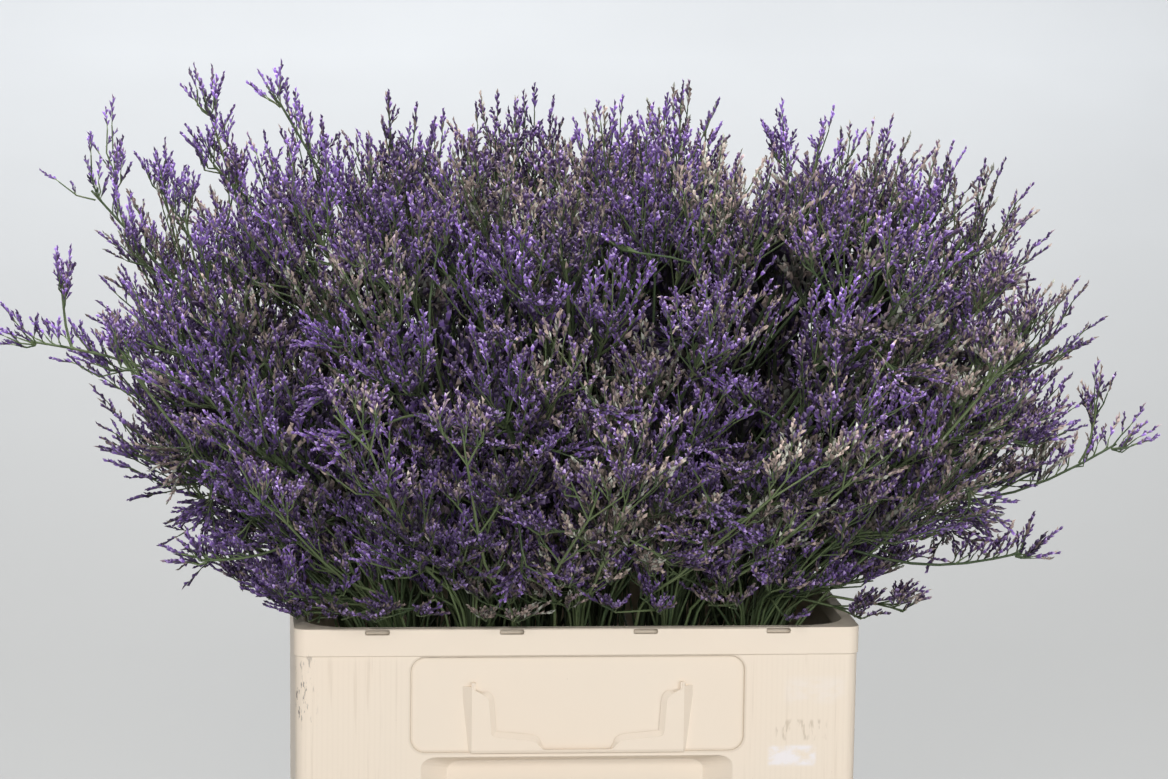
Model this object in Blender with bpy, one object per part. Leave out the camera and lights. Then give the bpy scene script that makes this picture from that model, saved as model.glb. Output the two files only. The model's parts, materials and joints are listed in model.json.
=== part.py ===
"""A bunch of dried statice standing in its moulded plastic flower bucket.

Metres, +Z up. The origin is the centre of the bucket's underside, and the front
of the bucket, with a card holder, faces -Y. The bucket is one moulding. Each
statice stem is one solid: a thin three-sided stalk that stands on the bucket's
floor, fans out above the rim and forks into branches, and on each branch a head
of flower spikes that stand out of a small core.
"""

import math
import random

import bmesh
import bpy
import numpy as np
from mathutils import Matrix, Vector

# Bucket
BUCKET_WIDTH = 0.390
BUCKET_DEPTH = 0.280
BUCKET_HEIGHT = 0.300
WALL_LEAN = 0.0015
WALL_THICKNESS = 0.0035
FLOOR_THICKNESS = 0.004
FOOT_CHAMFER = 0.003
OUTER_CORNER = 0.009
CAVITY_CORNER = 0.026
BAND_HEIGHT = 0.019
BAND_PROUD = 0.0008
LIP_WIDTH = 0.008
LIP_HEIGHT = 0.012
MOUTH_CORNER = 0.030
CORNER_STEPS = 3
BUCKET_COLOUR = (0.83, 0.74, 0.61, 1.0)
BUCKET_ROUGHNESS = 0.42

# Features moulded in the front and back walls. Drops run down from the rim.
SLOT_CENTRES = (-0.138, -0.046, 0.046, 0.138)
SLOT_WIDTH = 0.0166
SLOT_DROPS = (0.0019, 0.0037)
SLOT_DEPTH = 0.003
PANEL_WIDTH = 0.230
PANEL_DROPS = (0.020, 0.0865)
PANEL_CORNER = 0.010
PANEL_DEPTH = 0.0016
WINDOW_WIDTH = 0.225
WINDOW_DROPS = (0.0885, 0.250)
WINDOW_CORNER = 0.007
WINDOW_DEPTH = 0.016
WINDOW_SLANT = 0.0235
TOP_SLANT = 0.3
FOOT_SLANT = 0.5
HOLDER_HALF_WIDTH = 0.0735
HOLDER_DROPS = (0.0375, 0.087)
HOLDER_SKIN = 0.0016
HOLDER_SLOT = 0.0018
HOLDER_EDGE = 0.003
GUSSET_WIDTH = 0.007
GUSSET_DROP = 0.004
HOLDER_CUTOUT = (
    (0.0720, 0.0423),
    (0.0640, 0.0464),
    (0.0612, 0.0492),
    (0.0592, 0.0753),
    (0.0296, 0.0781),
    (0.0241, 0.0846),
)

# How far blocks reach past each other, so that no two faces lie in one plane
CUTTER_REACH = 0.004
SHELL_SETBACK = 0.001
MOUTH_OVERLAP = 0.002
MOUTH_RISE = 0.01
WALL_ROOT = 0.001
FOOT_OVERLAP = 0.0008
FOOT_SETBACK = 0.0002
SIDE_RISE = 0.0008
SIDE_OVERLAP = (0.0006, 0.0005)
SIDE_SETBACK = 0.0004
GUSSET_OVERLAP = (0.001, 0.0002)
GUSSET_SETBACK = 0.0006
GUSSET_FRONT = 0.0003

# The bunch as a whole
STEM_COUNT = 44
GOLDEN_ANGLE = math.pi * (3.0 - math.sqrt(5.0))
SITE_JITTER = 0.22
SITE_EDGE = 0.985
SEED = 41
BRANCH_SEED = 1000
SPIKE_SEED = 5000
STEM_SEAT_GAP = 0.0003
RIM_HALF = (0.171, 0.116)
RIM_POWER = 4.0
FOOT_SHRINK = 0.78
DOME_HALF = (0.312, 0.238)
DOME_POWER = 2.4
DOME_CENTRE_Z = 0.473
DOME_RISE = 0.127
DOME_DROP = 0.172
DOME_SHIFT_X = 0.019
DOME_ROUNDNESS = 0.76
LOWEST_ANGLE = math.radians(128.0)
OUTLINE_STEPS = 200
ROOT_LEAN = math.radians(24.0)
TIP_LEAN_SHARE = 0.60
ROOT_PULL = 0.38
TIP_PULL = 0.33
SWAY = 0.008
SWAY_RATE = 20.0
SWAY_PHASES = (1.3, 0.4, 2.0)

# One stem
STEM_RADIUS = 0.0021
STEM_TIP_RADIUS = 0.0013
BRANCH_RADIUS = 0.0012
STEM_STEPS = (0.0, 0.3, 0.65)
FORK_STEPS = (0.08, 0.22, 0.36, 0.48)
FORK_SHIFT = 0.05
BRANCH_COUNTS = (3, 3, 4, 3)
BRANCH_STEPS = (0.5, 1.0)
BRANCH_BOW = 0.8
BRANCH_SPREAD = (0.45, 0.70)
BRANCH_SWING = 0.6
SITE_TURN = 9.0
BRANCH_REACH = (0.80, 0.99)
LOW_FROM = 0.50
LOW_REACH = (0.27, 0.60)
LOW_SIZE = 0.82
BRANCH_TRIES = 40

# One head of flower spikes
HEAD_SIZES = (0.88, 1.08)
CORE_RADIUS = 0.0120
CORE_STRETCH = 1.45
CORE_LINE = 0.4
NECK_SHARE = 1.6
HEAD_UPTURN = 0.35
SPIKE_LENGTH = (0.030, 0.042)
SPIKE_LIFT = 0.70
TOP_SPIKE_EXTRA = 0.012
SPIKE_CUTS = (1.0, 0.85, 0.7, 0.55, 0.42)
SPIKE_ROOT_SHARE = 0.62
SPIKE_TIP_RADIUS = 0.0004
NODE_GAP = 0.0009
BUCKET_GAP = 0.002
MOUTH_CORNER_SHARE = 0.2
LINE_SHARES = (0.0, 0.35, 0.7, 1.0)
SHORTEST_LINE = 0.001
FLOWER_COLOUR = (0.17, 0.115, 0.36)
FLOWER_ROUGHNESS = 0.8
COLOUR_FADE = 0.3

# Long side sprays: where each tip ends, its sag, and the size of its heads
STRAYS = (
    ((-0.376, -0.060, 0.488), 0.016, 0.55, 2),
    ((-0.336, 0.010, 0.587), 0.000, 0.80, 2),
    ((-0.254, 0.020, 0.645), 0.000, 0.55, 1),
    ((-0.204, 0.000, 0.651), 0.000, 0.45, 1),
    ((0.399, -0.020, 0.410), -0.020, 0.60, 3),
    ((0.312, -0.110, 0.346), -0.012, 0.50, 1),
    ((-0.257, -0.150, 0.350), -0.010, 0.45, 1),
)
STRAY_FORK = 0.5
STRAY_HEAD = 20
STRAY_RADIUS = 0.0011
STRAY_STEPS = (0.0, 0.3, 0.65, 1.0)
STRAY_BENDS = (0.0, 0.02, -0.02, 0.04, -0.04)
STRAY_HOSTS = 6
TWIG_ROOT = 0.55
TWIG_SPACING = 0.5
TWIG_ASIDE = 0.012
TWIG_RISE = 0.016
TWIG_OUT = 0.005
TWIG_SIZE = 0.9
TWIG_STRETCH = 1.6


def clear_scene():
    """Remove whatever the file holds."""
    for thing in list(bpy.data.objects):
        bpy.data.objects.remove(thing, do_unlink=True)


def make_collection(name):
    """A collection linked to the scene."""
    group = bpy.data.collections.new(name)
    bpy.context.scene.collection.children.link(group)
    return group


def make_material(name, colour, roughness):
    """A plain Principled material."""
    material = bpy.data.materials.new(name)
    material.use_nodes = True
    shader = material.node_tree.nodes["Principled BSDF"]
    shader.inputs["Base Color"].default_value = colour
    shader.inputs["Roughness"].default_value = roughness
    shader.inputs["Metallic"].default_value = 0.0
    material.diffuse_color = colour
    return material


def object_from_bmesh(name, mesh_builder, group):
    """Turn a bmesh into a linked object and free it."""
    mesh = bpy.data.meshes.new(name)
    mesh_builder.to_mesh(mesh)
    mesh_builder.free()
    thing = bpy.data.objects.new(name, mesh)
    group.objects.link(thing)
    return thing


def hide_helper(thing):
    """Mark a cutter or guide as no part of the object."""
    thing.hide_render = True
    thing.display_type = "WIRE"


# Bucket


def tapered_box(half_x, half_y, z_low, z_high, corner, lean_from):
    """A box that narrows downwards from the height lean_from, its upright edges rounded."""
    shape = bmesh.new()
    bmesh.ops.create_cube(shape, size=2.0)
    for corner_point in shape.verts:
        z = z_low if corner_point.co.z < 0.0 else z_high
        lean = WALL_LEAN * (lean_from - z) / BUCKET_HEIGHT
        corner_point.co.x *= half_x - lean
        corner_point.co.y *= half_y - lean
        corner_point.co.z = z
    upright = [e for e in shape.edges if abs(e.verts[0].co.z - e.verts[1].co.z) > 1e-4]
    bmesh.ops.bevel(
        shape, geom=upright, offset=corner, segments=CORNER_STEPS, profile=0.5, affect="EDGES"
    )
    return shape


def chamfer_foot(shape):
    """Break the lowest edge of the outer shell."""
    lowest = min(v.co.z for v in shape.verts)
    foot = [e for e in shape.edges if all(v.co.z < lowest + 1e-5 for v in e.verts)]
    bmesh.ops.bevel(
        shape, geom=foot, offset=FOOT_CHAMFER, segments=1, profile=0.5, affect="EDGES"
    )


def wall_frame(side):
    """The frame of the front (-1) or back (+1) wall: x across, y outwards, z down the wall."""
    lean = math.atan(WALL_LEAN / BUCKET_HEIGHT)
    turn = Matrix.Rotation(math.pi if side > 0 else 0.0, 4, "Z")
    axes = Matrix(
        (
            (1.0, 0.0, 0.0, 0.0),
            (0.0, -math.cos(lean), math.sin(lean), BAND_PROUD - BUCKET_DEPTH / 2.0),
            (0.0, -math.sin(lean), -math.cos(lean), BUCKET_HEIGHT),
            (0.0, 0.0, 0.0, 1.0),
        )
    )
    return turn @ axes


def wall_block(name, group, side, x_range, drops, outs, slant=0.0, corner=0.0):
    """A block set in a wall. Its inner face shrinks by slant, its corners seen from outside round."""
    shape = bmesh.new()
    bmesh.ops.create_cube(shape, size=2.0)
    middle = sum(x_range) / 2.0
    half = (x_range[1] - x_range[0]) / 2.0
    for point in shape.verts:
        inner = point.co.y < 0.0
        shrink = slant if inner else 0.0
        low = point.co.z < 0.0
        point.co.x = middle + math.copysign(half - shrink, point.co.x)
        point.co.y = outs[0] if inner else outs[1]
        point.co.z = drops[0] + shrink * TOP_SLANT if low else drops[1] - shrink * FOOT_SLANT
    if corner > 0.0:
        across = [e for e in shape.edges if abs(e.verts[0].co.y - e.verts[1].co.y) > 1e-4]
        bmesh.ops.bevel(
            shape, geom=across, offset=corner, segments=2, profile=0.5, affect="EDGES"
        )
    bmesh.ops.transform(shape, matrix=wall_frame(side), verts=shape.verts)
    bmesh.ops.recalc_face_normals(shape, faces=shape.faces)
    return object_from_bmesh(name, shape, group)


def holder_plate(name, group, side):
    """The card holder's front plate: a U with a stepped cut-out, clear of the wall behind it."""
    outer = HOLDER_HALF_WIDTH
    top, bottom = HOLDER_DROPS
    right = [(outer, bottom), (outer, top)] + [(x, drop) for x, drop in HOLDER_CUTOUT]
    left = [(-x, drop) for x, drop in reversed(right)]
    shape = bmesh.new()
    inner_face = HOLDER_SLOT - PANEL_DEPTH
    ring = [shape.verts.new((x, inner_face, drop)) for x, drop in right + left]
    plate = shape.faces.new(ring)
    swept = bmesh.ops.extrude_face_region(shape, geom=[plate])
    moved = [v for v in swept["geom"] if isinstance(v, bmesh.types.BMVert)]
    bmesh.ops.translate(shape, vec=(0.0, HOLDER_SKIN, 0.0), verts=moved)
    bmesh.ops.transform(shape, matrix=wall_frame(side), verts=shape.verts)
    bmesh.ops.recalc_face_normals(shape, faces=shape.faces)
    return object_from_bmesh(name, shape, group)


def holder_walls(group, side):
    """The walls that carry the plate, with a slanted gusset outside each upright one."""
    top, bottom = HOLDER_DROPS
    root = -PANEL_DEPTH - WALL_ROOT
    front = HOLDER_SLOT - PANEL_DEPTH + HOLDER_SKIN
    edge = HOLDER_HALF_WIDTH
    foot_across = HOLDER_EDGE / 2.0 - edge, edge - HOLDER_EDGE / 2.0
    foot_drops = bottom - HOLDER_EDGE / 2.0, bottom + FOOT_OVERLAP
    foot_outs = root, front - FOOT_SETBACK
    wall_block("holder_foot", group, side, foot_across, foot_drops, foot_outs)
    for hand in (-1.0, 1.0):
        across = sorted((hand * (edge - HOLDER_EDGE), hand * (edge + SIDE_OVERLAP[0])))
        side_drops = top - SIDE_RISE, bottom + SIDE_OVERLAP[1]
        wall_block("holder_side", group, side, across, side_drops, (root, front - SIDE_SETBACK))
        slope = sorted((hand * (edge - GUSSET_OVERLAP[0]), hand * (edge + GUSSET_WIDTH)))
        gusset_drops = top + GUSSET_DROP, bottom + GUSSET_OVERLAP[1]
        gusset = wall_block(
            "holder_gusset", group, side, slope, gusset_drops, (root, front - GUSSET_SETBACK)
        )
        inverse = wall_frame(side).inverted()
        for point in gusset.data.vertices:
            place = inverse @ point.co
            if place.y > 0.0 and hand * place.x > edge:
                place.x = hand * (edge + GUSSET_FRONT)
                point.co = wall_frame(side) @ place


def add_boolean(thing, operation, group, solver="EXACT"):
    """One Boolean of a whole collection."""
    step = thing.modifiers.new(operation.lower(), "BOOLEAN")
    step.operation = operation
    step.operand_type = "COLLECTION"
    step.collection = group
    step.solver = solver


def make_bucket(group):
    """The bucket: a leaning shell with a rim band, an inner lip and its moulded walls."""
    lower = BUCKET_WIDTH / 2.0 - BAND_PROUD, BUCKET_DEPTH / 2.0 - BAND_PROUD
    shell_top = BUCKET_HEIGHT - SHELL_SETBACK
    shell = tapered_box(*lower, 0.0, shell_top, OUTER_CORNER, BUCKET_HEIGHT)
    chamfer_foot(shell)
    bucket = object_from_bmesh("bucket", shell, group)
    additions = make_collection("bucket_additions")
    cavities = make_collection("bucket_cavities")
    linings = make_collection("bucket_linings")
    recesses = make_collection("bucket_recesses")
    band_foot = BUCKET_HEIGHT - BAND_HEIGHT
    band = tapered_box(
        BUCKET_WIDTH / 2.0, BUCKET_DEPTH / 2.0, band_foot, BUCKET_HEIGHT, OUTER_CORNER, BUCKET_HEIGHT
    )
    object_from_bmesh("rim_band", band, additions)
    lip_foot = BUCKET_HEIGHT - LIP_HEIGHT
    inner = lower[0] - WALL_THICKNESS, lower[1] - WALL_THICKNESS
    cavity = tapered_box(*inner, FLOOR_THICKNESS, lip_foot, CAVITY_CORNER, BUCKET_HEIGHT)
    object_from_bmesh("cavity", cavity, cavities)
    mouth_half = BUCKET_WIDTH / 2.0 - LIP_WIDTH, BUCKET_DEPTH / 2.0 - LIP_WIDTH
    mouth_span = lip_foot - MOUTH_OVERLAP, BUCKET_HEIGHT + MOUTH_RISE
    mouth = tapered_box(*mouth_half, *mouth_span, MOUTH_CORNER, BUCKET_HEIGHT)
    object_from_bmesh("mouth", mouth, cavities)
    half_window = WINDOW_WIDTH / 2.0
    lining_half = half_window + WALL_THICKNESS
    lining_drops = WINDOW_DROPS[0] - WALL_THICKNESS, WINDOW_DROPS[1] + WALL_THICKNESS
    lining_outs = -WINDOW_DEPTH - WALL_THICKNESS, -WALL_THICKNESS / 2.0
    for side in (-1, 1):
        wall_block(
            "lining", linings, side, (-lining_half, lining_half), lining_drops, lining_outs, WINDOW_SLANT
        )
        holder_plate("holder_plate", linings, side)
        holder_walls(linings, side)
        wall_block(
            "window", recesses, side, (-half_window, half_window), WINDOW_DROPS,
            (-WINDOW_DEPTH, CUTTER_REACH), WINDOW_SLANT, WINDOW_CORNER,
        )
        wall_block(
            "panel", cavities, side, (-PANEL_WIDTH / 2.0, PANEL_WIDTH / 2.0), PANEL_DROPS,
            (-PANEL_DEPTH, CUTTER_REACH), 0.0, PANEL_CORNER,
        )
        for centre in SLOT_CENTRES:
            across = centre - SLOT_WIDTH / 2.0, centre + SLOT_WIDTH / 2.0
            slot_outs = -SLOT_DEPTH, CUTTER_REACH
            wall_block("rim_slot", recesses, side, across, SLOT_DROPS, slot_outs)
    add_boolean(bucket, "UNION", additions)
    add_boolean(bucket, "DIFFERENCE", cavities)
    add_boolean(bucket, "UNION", linings)
    add_boolean(bucket, "DIFFERENCE", recesses)
    for helpers in (additions, cavities, linings, recesses):
        for thing in helpers.objects:
            hide_helper(thing)
    bucket.data.materials.append(make_material("moulded_plastic", BUCKET_COLOUR, BUCKET_ROUGHNESS))
    return bucket


# The way the stems fan out


def superellipse(angle, half_x, half_y, power):
    """Distance from the centre to a rounded oblong's edge, in the direction angle."""
    across = abs(math.cos(angle)) / half_x
    along = abs(math.sin(angle)) / half_y
    return (across**power + along**power) ** (-1.0 / power)


def signed_power(value, power):
    """A power that keeps the sign."""
    return math.copysign(abs(value) ** power, value)


def dome_outline(fall):
    """Share of the dome's half width, and height, at an angle down from its top."""
    reach = signed_power(math.sin(fall), DOME_ROUNDNESS)
    lift = signed_power(math.cos(fall), DOME_ROUNDNESS)
    return reach, DOME_CENTRE_Z + lift * (DOME_RISE if lift > 0.0 else DOME_DROP)


def dome_shares():
    """How much of the dome's surface lies above each angle down from its top."""
    falls = np.linspace(0.0, LOWEST_ANGLE, OUTLINE_STEPS)
    outline = np.array([dome_outline(fall) for fall in falls])
    radii = outline[:, 0] * sum(DOME_HALF) / 2.0
    slopes = np.hypot(np.diff(radii), np.diff(outline[:, 1]))
    bands = slopes * (radii[1:] + radii[:-1])
    return falls, np.concatenate(([0.0], np.cumsum(bands))) / bands.sum()


DOME_FALLS, DOME_SHARES = dome_shares()


def bunch_point(u, v, rise):
    """Where a stem that stands at (u, v) of the unit disc is, rise 0 at the rim to 1 at the tips.

    No two of these routes meet: neighbours at the rim stay neighbours all the way up.
    """
    share = math.hypot(u, v)
    angle = math.atan2(v, u)
    fall = float(np.interp(share**2, DOME_SHARES, DOME_FALLS))
    reach, height = dome_outline(fall)
    root = (share * superellipse(angle, *RIM_HALF, RIM_POWER), BUCKET_HEIGHT)
    tip = (reach * superellipse(angle, *DOME_HALF, DOME_POWER), height)
    span = math.hypot(tip[0] - root[0], tip[1] - root[1])
    root_lean = share * ROOT_LEAN
    tip_lean = fall * TIP_LEAN_SHARE
    pull = ROOT_PULL * span
    first = (root[0] + pull * math.sin(root_lean), root[1] + pull * math.cos(root_lean))
    pull = TIP_PULL * span
    second = (tip[0] - pull * math.sin(tip_lean), tip[1] - pull * math.cos(tip_lean))
    rest = 1.0 - rise
    weights = rest**3, 3.0 * rest**2 * rise, 3.0 * rest * rise**2, rise**3
    out = sum(w * p[0] for w, p in zip(weights, (root, first, second, tip)))
    up = sum(w * p[1] for w, p in zip(weights, (root, first, second, tip)))
    x, y = out * math.cos(angle), out * math.sin(angle)
    drift = rise * SWAY
    x_sway = drift * math.sin(SWAY_RATE * y + SWAY_PHASES[0]) * math.cos(SWAY_RATE * up)
    y_sway = drift * math.sin(SWAY_RATE * x + SWAY_PHASES[1])
    y_sway *= math.cos(SWAY_RATE * up + SWAY_PHASES[2])
    return Vector((x + x_sway + rise * DOME_SHIFT_X, y + y_sway, up))


def foot_point(u, v):
    """Where a stem stands on the bucket's floor."""
    above = bunch_point(u, v, 0.0)
    z = FLOOR_THICKNESS + STEM_SEAT_GAP
    return Vector((above.x * FOOT_SHRINK, above.y * FOOT_SHRINK, z))


def stem_sites():
    """Evenly spread places in the unit disc, in the order of a sunflower's seeds."""
    draw = random.Random(SEED)
    cell = 1.0 / math.sqrt(STEM_COUNT)
    sites = []
    for index in range(STEM_COUNT):
        share = SITE_EDGE * math.sqrt((index + 0.5) / STEM_COUNT)
        angle = index * GOLDEN_ANGLE
        u = share * math.cos(angle) + draw.uniform(-SITE_JITTER, SITE_JITTER) * cell
        v = share * math.sin(angle) + draw.uniform(-SITE_JITTER, SITE_JITTER) * cell
        shrink = min(1.0, SITE_EDGE / max(math.hypot(u, v), 1e-6))
        sites.append((u * shrink, v * shrink))
    return sites


# Keeping the stems clear of each other


class Crowd:
    """Every stalk, core and spike placed so far, each as a line that tapers, with its stem."""

    def __init__(self):
        self.lines = []

    def add(self, owner, start, end, start_radius, end_radius):
        """Remember one line."""
        self.lines.append((owner, start, end, start_radius, end_radius))

    def is_clear(self, owner, start, end, start_radius, end_radius, whole_stem=True):
        """Whether a line keeps its gap to the bucket and to all that isn't its own.

        An owner is a stem and a head. Its own is the whole stem, or that head alone.
        """
        for share in LINE_SHARES:
            radius = start_radius + (end_radius - start_radius) * share
            if not clear_of_bucket(start.lerp(end, share), radius):
                return False
        middle = (start + end) / 2.0
        reach = (end - start).length / 2.0 + max(start_radius, end_radius) + NODE_GAP
        for other, a, b, a_radius, b_radius in self.lines:
            if other == owner or (whole_stem and other[0] == owner[0]):
                continue
            far = reach + (b - a).length / 2.0 + max(a_radius, b_radius)
            if (middle - (a + b) / 2.0).length_squared > far * far:
                continue
            distance, here, there = line_distance(start, end, a, b)
            need = start_radius + (end_radius - start_radius) * here
            need += a_radius + (b_radius - a_radius) * there + NODE_GAP
            if distance < need:
                return False
        return True


def clear_of_bucket(place, radius):
    """Whether a point with a radius is above the rim or well inside the mouth."""
    if place.z - radius > BUCKET_HEIGHT + BUCKET_GAP:
        return True
    margin = radius + BUCKET_GAP + LIP_WIDTH + MOUTH_CORNER_SHARE * MOUTH_CORNER
    inside_x = abs(place.x) < BUCKET_WIDTH / 2.0 - margin
    inside_y = abs(place.y) < BUCKET_DEPTH / 2.0 - margin
    return inside_x and inside_y


def line_distance(p1, q1, p2, q2):
    """Shortest distance between two line pieces, and how far along each it lies."""
    d1, d2, r = q1 - p1, q2 - p2, p1 - p2
    a, e, f = d1.dot(d1), d2.dot(d2), d2.dot(r)
    c, b = d1.dot(r), d1.dot(d2)
    spread = a * e - b * b
    s = min(1.0, max(0.0, (b * f - c * e) / spread)) if spread > 1e-14 else 0.0
    t = (b * s + f) / e if e > 1e-14 else 0.0
    if t < 0.0:
        t = 0.0
        s = min(1.0, max(0.0, -c / a)) if a > 1e-14 else 0.0
    elif t > 1.0:
        t = 1.0
        s = min(1.0, max(0.0, (b - c) / a)) if a > 1e-14 else 0.0
    return ((p1 + d1 * s) - (p2 + d2 * t)).length, s, t


# Planning a stem: routes first, then spikes


def route_is_clear(crowd, owner, route, radius, size):
    """Whether a whole stalk keeps clear of other stems, and its core of its own stem too."""
    core = CORE_RADIUS * size
    end = route[-1], route[-1] + Vector((0.0, 0.0, SHORTEST_LINE))
    if not crowd.is_clear(owner, *end, core, core, whole_stem=False):
        return False
    if not crowd.is_clear(owner, route[-2], route[-1], radius, radius, whole_stem=False):
        return False
    return all(crowd.is_clear(owner, a, b, radius, radius) for a, b in zip(route, route[1:]))


def add_head(crowd, owner, route, radius, size):
    """Register a stalk with its core, and return the plan of both."""
    for a, b in zip(route, route[1:]):
        crowd.add(owner, a, b, radius, radius)
    axis = (route[-1] - route[-2]).normalized()
    axis = (axis + Vector((0.0, 0.0, HEAD_UPTURN))).normalized()
    core = CORE_RADIUS * size
    along = axis * core * CORE_LINE
    crowd.add(owner, route[-1] - along, route[-1] + along, core, core)
    plan = {"owner": owner, "route": route, "radius": radius, "axis": axis, "size": size}
    plan["spikes"] = {}
    return plan


def plan_stalk(crowd, stem, site):
    """The main stalk from the floor up, and its head."""
    u, v = site
    route = [foot_point(u, v)]
    route += [bunch_point(u, v, rise) for rise in STEM_STEPS]
    route.append(bunch_point(u, v, 1.0))
    return add_head(crowd, (stem, 0), route, STEM_RADIUS, 1.0)


def plan_branch(crowd, owner, site, stalk, number, count, draw):
    """One branch: it leaves the stalk at a fork and ends beside the others of its stem.

    Number count is the low branch, which ends outside the stalk, a little above the rim.
    """
    cell = 1.0 / math.sqrt(STEM_COUNT)
    low = number == count
    if low:
        turn, fork, reaches, largest = math.atan2(site[1], site[0]), 0.0, LOW_REACH, LOW_SIZE
    else:
        turn = math.tau * number / count + site[0] * SITE_TURN
        fork, reaches, largest = FORK_STEPS[number], BRANCH_REACH, 1.0
    for _ in range(BRANCH_TRIES):
        angle = turn + draw.uniform(-BRANCH_SWING, BRANCH_SWING)
        spread = cell * draw.uniform(*BRANCH_SPREAD)
        reach = draw.uniform(*reaches)
        start = fork + draw.uniform(0.0, FORK_SHIFT)
        aside = spread * math.cos(angle), spread * math.sin(angle)
        route = [point_on(stalk["route"], start)]
        for step in BRANCH_STEPS:
            share = step**BRANCH_BOW
            rise = start + (reach - start) * step
            route.append(bunch_point(site[0] + aside[0] * share, site[1] + aside[1] * share, rise))
        size = draw.uniform(*HEAD_SIZES) * largest
        if route_is_clear(crowd, owner, route, BRANCH_RADIUS, size):
            return add_head(crowd, owner, route, BRANCH_RADIUS, size)
    return None


def point_on(route, rise):
    """The point of a stalk's straight pieces at this rise above the rim."""
    marks = [*STEM_STEPS, 1.0]
    for index in range(len(marks) - 1):
        if rise <= marks[index + 1]:
            share = (rise - marks[index]) / (marks[index + 1] - marks[index])
            return route[index + 1].lerp(route[index + 2], share)
    return route[-1].copy()


def plan_strays(crowd, stalks):
    """The long side sprays, each on the stem whose tip lies nearest."""
    strays = []
    for tip, sag, size, heads in STRAYS:
        goal = Vector(tip)
        order = sorted(range(len(stalks)), key=lambda i: (stalks[i]["route"][-1] - goal).length)
        for stem in order[:STRAY_HOSTS]:
            plan = plan_stray(crowd, stem, stalks[stem], goal, sag, size, heads)
            if plan:
                strays += plan
                break
    return strays


def plan_stray(crowd, stem, stalk, goal, sag, size, heads):
    """One stray: a long bare stalk past its own stem's head, with small heads near its tip."""
    start = point_on(stalk["route"], STRAY_FORK)
    outward = Vector((goal.x - start.x, goal.y - start.y, 0.0)).normalized()
    across = Vector((-outward.y, outward.x, 0.0))
    for bend in STRAY_BENDS:
        aside = across * bend
        route = []
        for step in STRAY_STEPS:
            arch = math.sin(math.pi * step)
            route.append(start.lerp(goal, step) + arch * (aside + Vector((0.0, 0.0, sag))))
        if route_is_clear(crowd, (stem, STRAY_HEAD), route, STRAY_RADIUS, size):
            break
    else:
        return []
    plans = [add_head(crowd, (stem, STRAY_HEAD), route, STRAY_RADIUS, size)]
    for number in range(1, heads):
        root = route[2].lerp(route[3], TWIG_ROOT - TWIG_SPACING * (number - 1))
        hand = -1.0 if number % 2 else 1.0
        step = across * hand * TWIG_ASIDE + outward * TWIG_OUT + Vector((0.0, 0.0, TWIG_RISE))
        twig = [root, root + step, root + step * TWIG_STRETCH + Vector((0.0, 0.0, TWIG_RISE))]
        owner = (stem, STRAY_HEAD + number)
        if route_is_clear(crowd, owner, twig, STRAY_RADIUS, size * TWIG_SIZE):
            plans.append(add_head(crowd, owner, twig, STRAY_RADIUS, size * TWIG_SIZE))
    return plans


def core_mesh(size):
    """A small stretched ball of 20 faces, one face straight down."""
    shape = bmesh.new()
    bmesh.ops.create_icosphere(shape, subdivisions=1, radius=CORE_RADIUS * size)
    shape.normal_update()
    lowest = min(shape.faces, key=lambda f: f.calc_center_median().z)
    turn = lowest.normal.rotation_difference(Vector((0.0, 0.0, -1.0)))
    bmesh.ops.transform(shape, matrix=turn.to_matrix().to_4x4(), verts=shape.verts)
    bmesh.ops.scale(shape, vec=(1.0, 1.0, CORE_STRETCH), verts=shape.verts)
    shape.normal_update()
    return shape


def head_frame(plan):
    """The head's place: its own z along the axis, its origin at the end of the route."""
    turn = Vector((0.0, 0.0, 1.0)).rotation_difference(plan["axis"])
    return Matrix.Translation(plan["route"][-1]) @ turn.to_matrix().to_4x4()


def plan_spikes(crowd, plan, draw):
    """Choose the faces of a core that grow a spike, and each spike's tip."""
    shape = core_mesh(plan["size"])
    frame = head_frame(plan)
    for index, face in enumerate(shape.faces):
        root = face.calc_center_median()
        normal = root.normalized()
        length = draw.uniform(*SPIKE_LENGTH) + TOP_SPIKE_EXTRA * max(0.0, normal.z)
        if normal.z < 0.0:
            continue
        way = (normal + Vector((0.0, 0.0, SPIKE_LIFT))).normalized()
        width = CORE_RADIUS * plan["size"] * SPIKE_ROOT_SHARE
        for cut in SPIKE_CUTS:
            tip = root + way * length * plan["size"] * cut
            start, end = frame @ root, frame @ tip
            line = plan["owner"], start, end, width, SPIKE_TIP_RADIUS
            if crowd.is_clear(*line, whole_stem=False):
                crowd.add(*line)
                plan["spikes"][index] = tip
                break
    shape.free()


def plan_bunch():
    """Every stem's plan: its stalk, branches and strays, then the spikes on each head."""
    crowd = Crowd()
    sites = stem_sites()
    stalks = [plan_stalk(crowd, stem, site) for stem, site in enumerate(sites)]
    stems = [[stalk] for stalk in stalks]
    for plan in plan_strays(crowd, stalks):
        stems[plan["owner"][0]].append(plan)
    for stem, site in enumerate(sites):
        draw = random.Random(SEED * BRANCH_SEED + stem)
        count = BRANCH_COUNTS[stem % len(BRANCH_COUNTS)]
        low = 1 if math.hypot(*site) > LOW_FROM else 0
        for number in range(count + low):
            owner = (stem, number + 1)
            branch = plan_branch(crowd, owner, site, stalks[stem], number, count, draw)
            if branch:
                stems[stem].append(branch)
    for stem, plans in enumerate(stems):
        draw = random.Random(SEED * SPIKE_SEED + stem)
        for plan in plans:
            plan_spikes(crowd, plan, draw)
    return stems


# Building a stem


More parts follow.
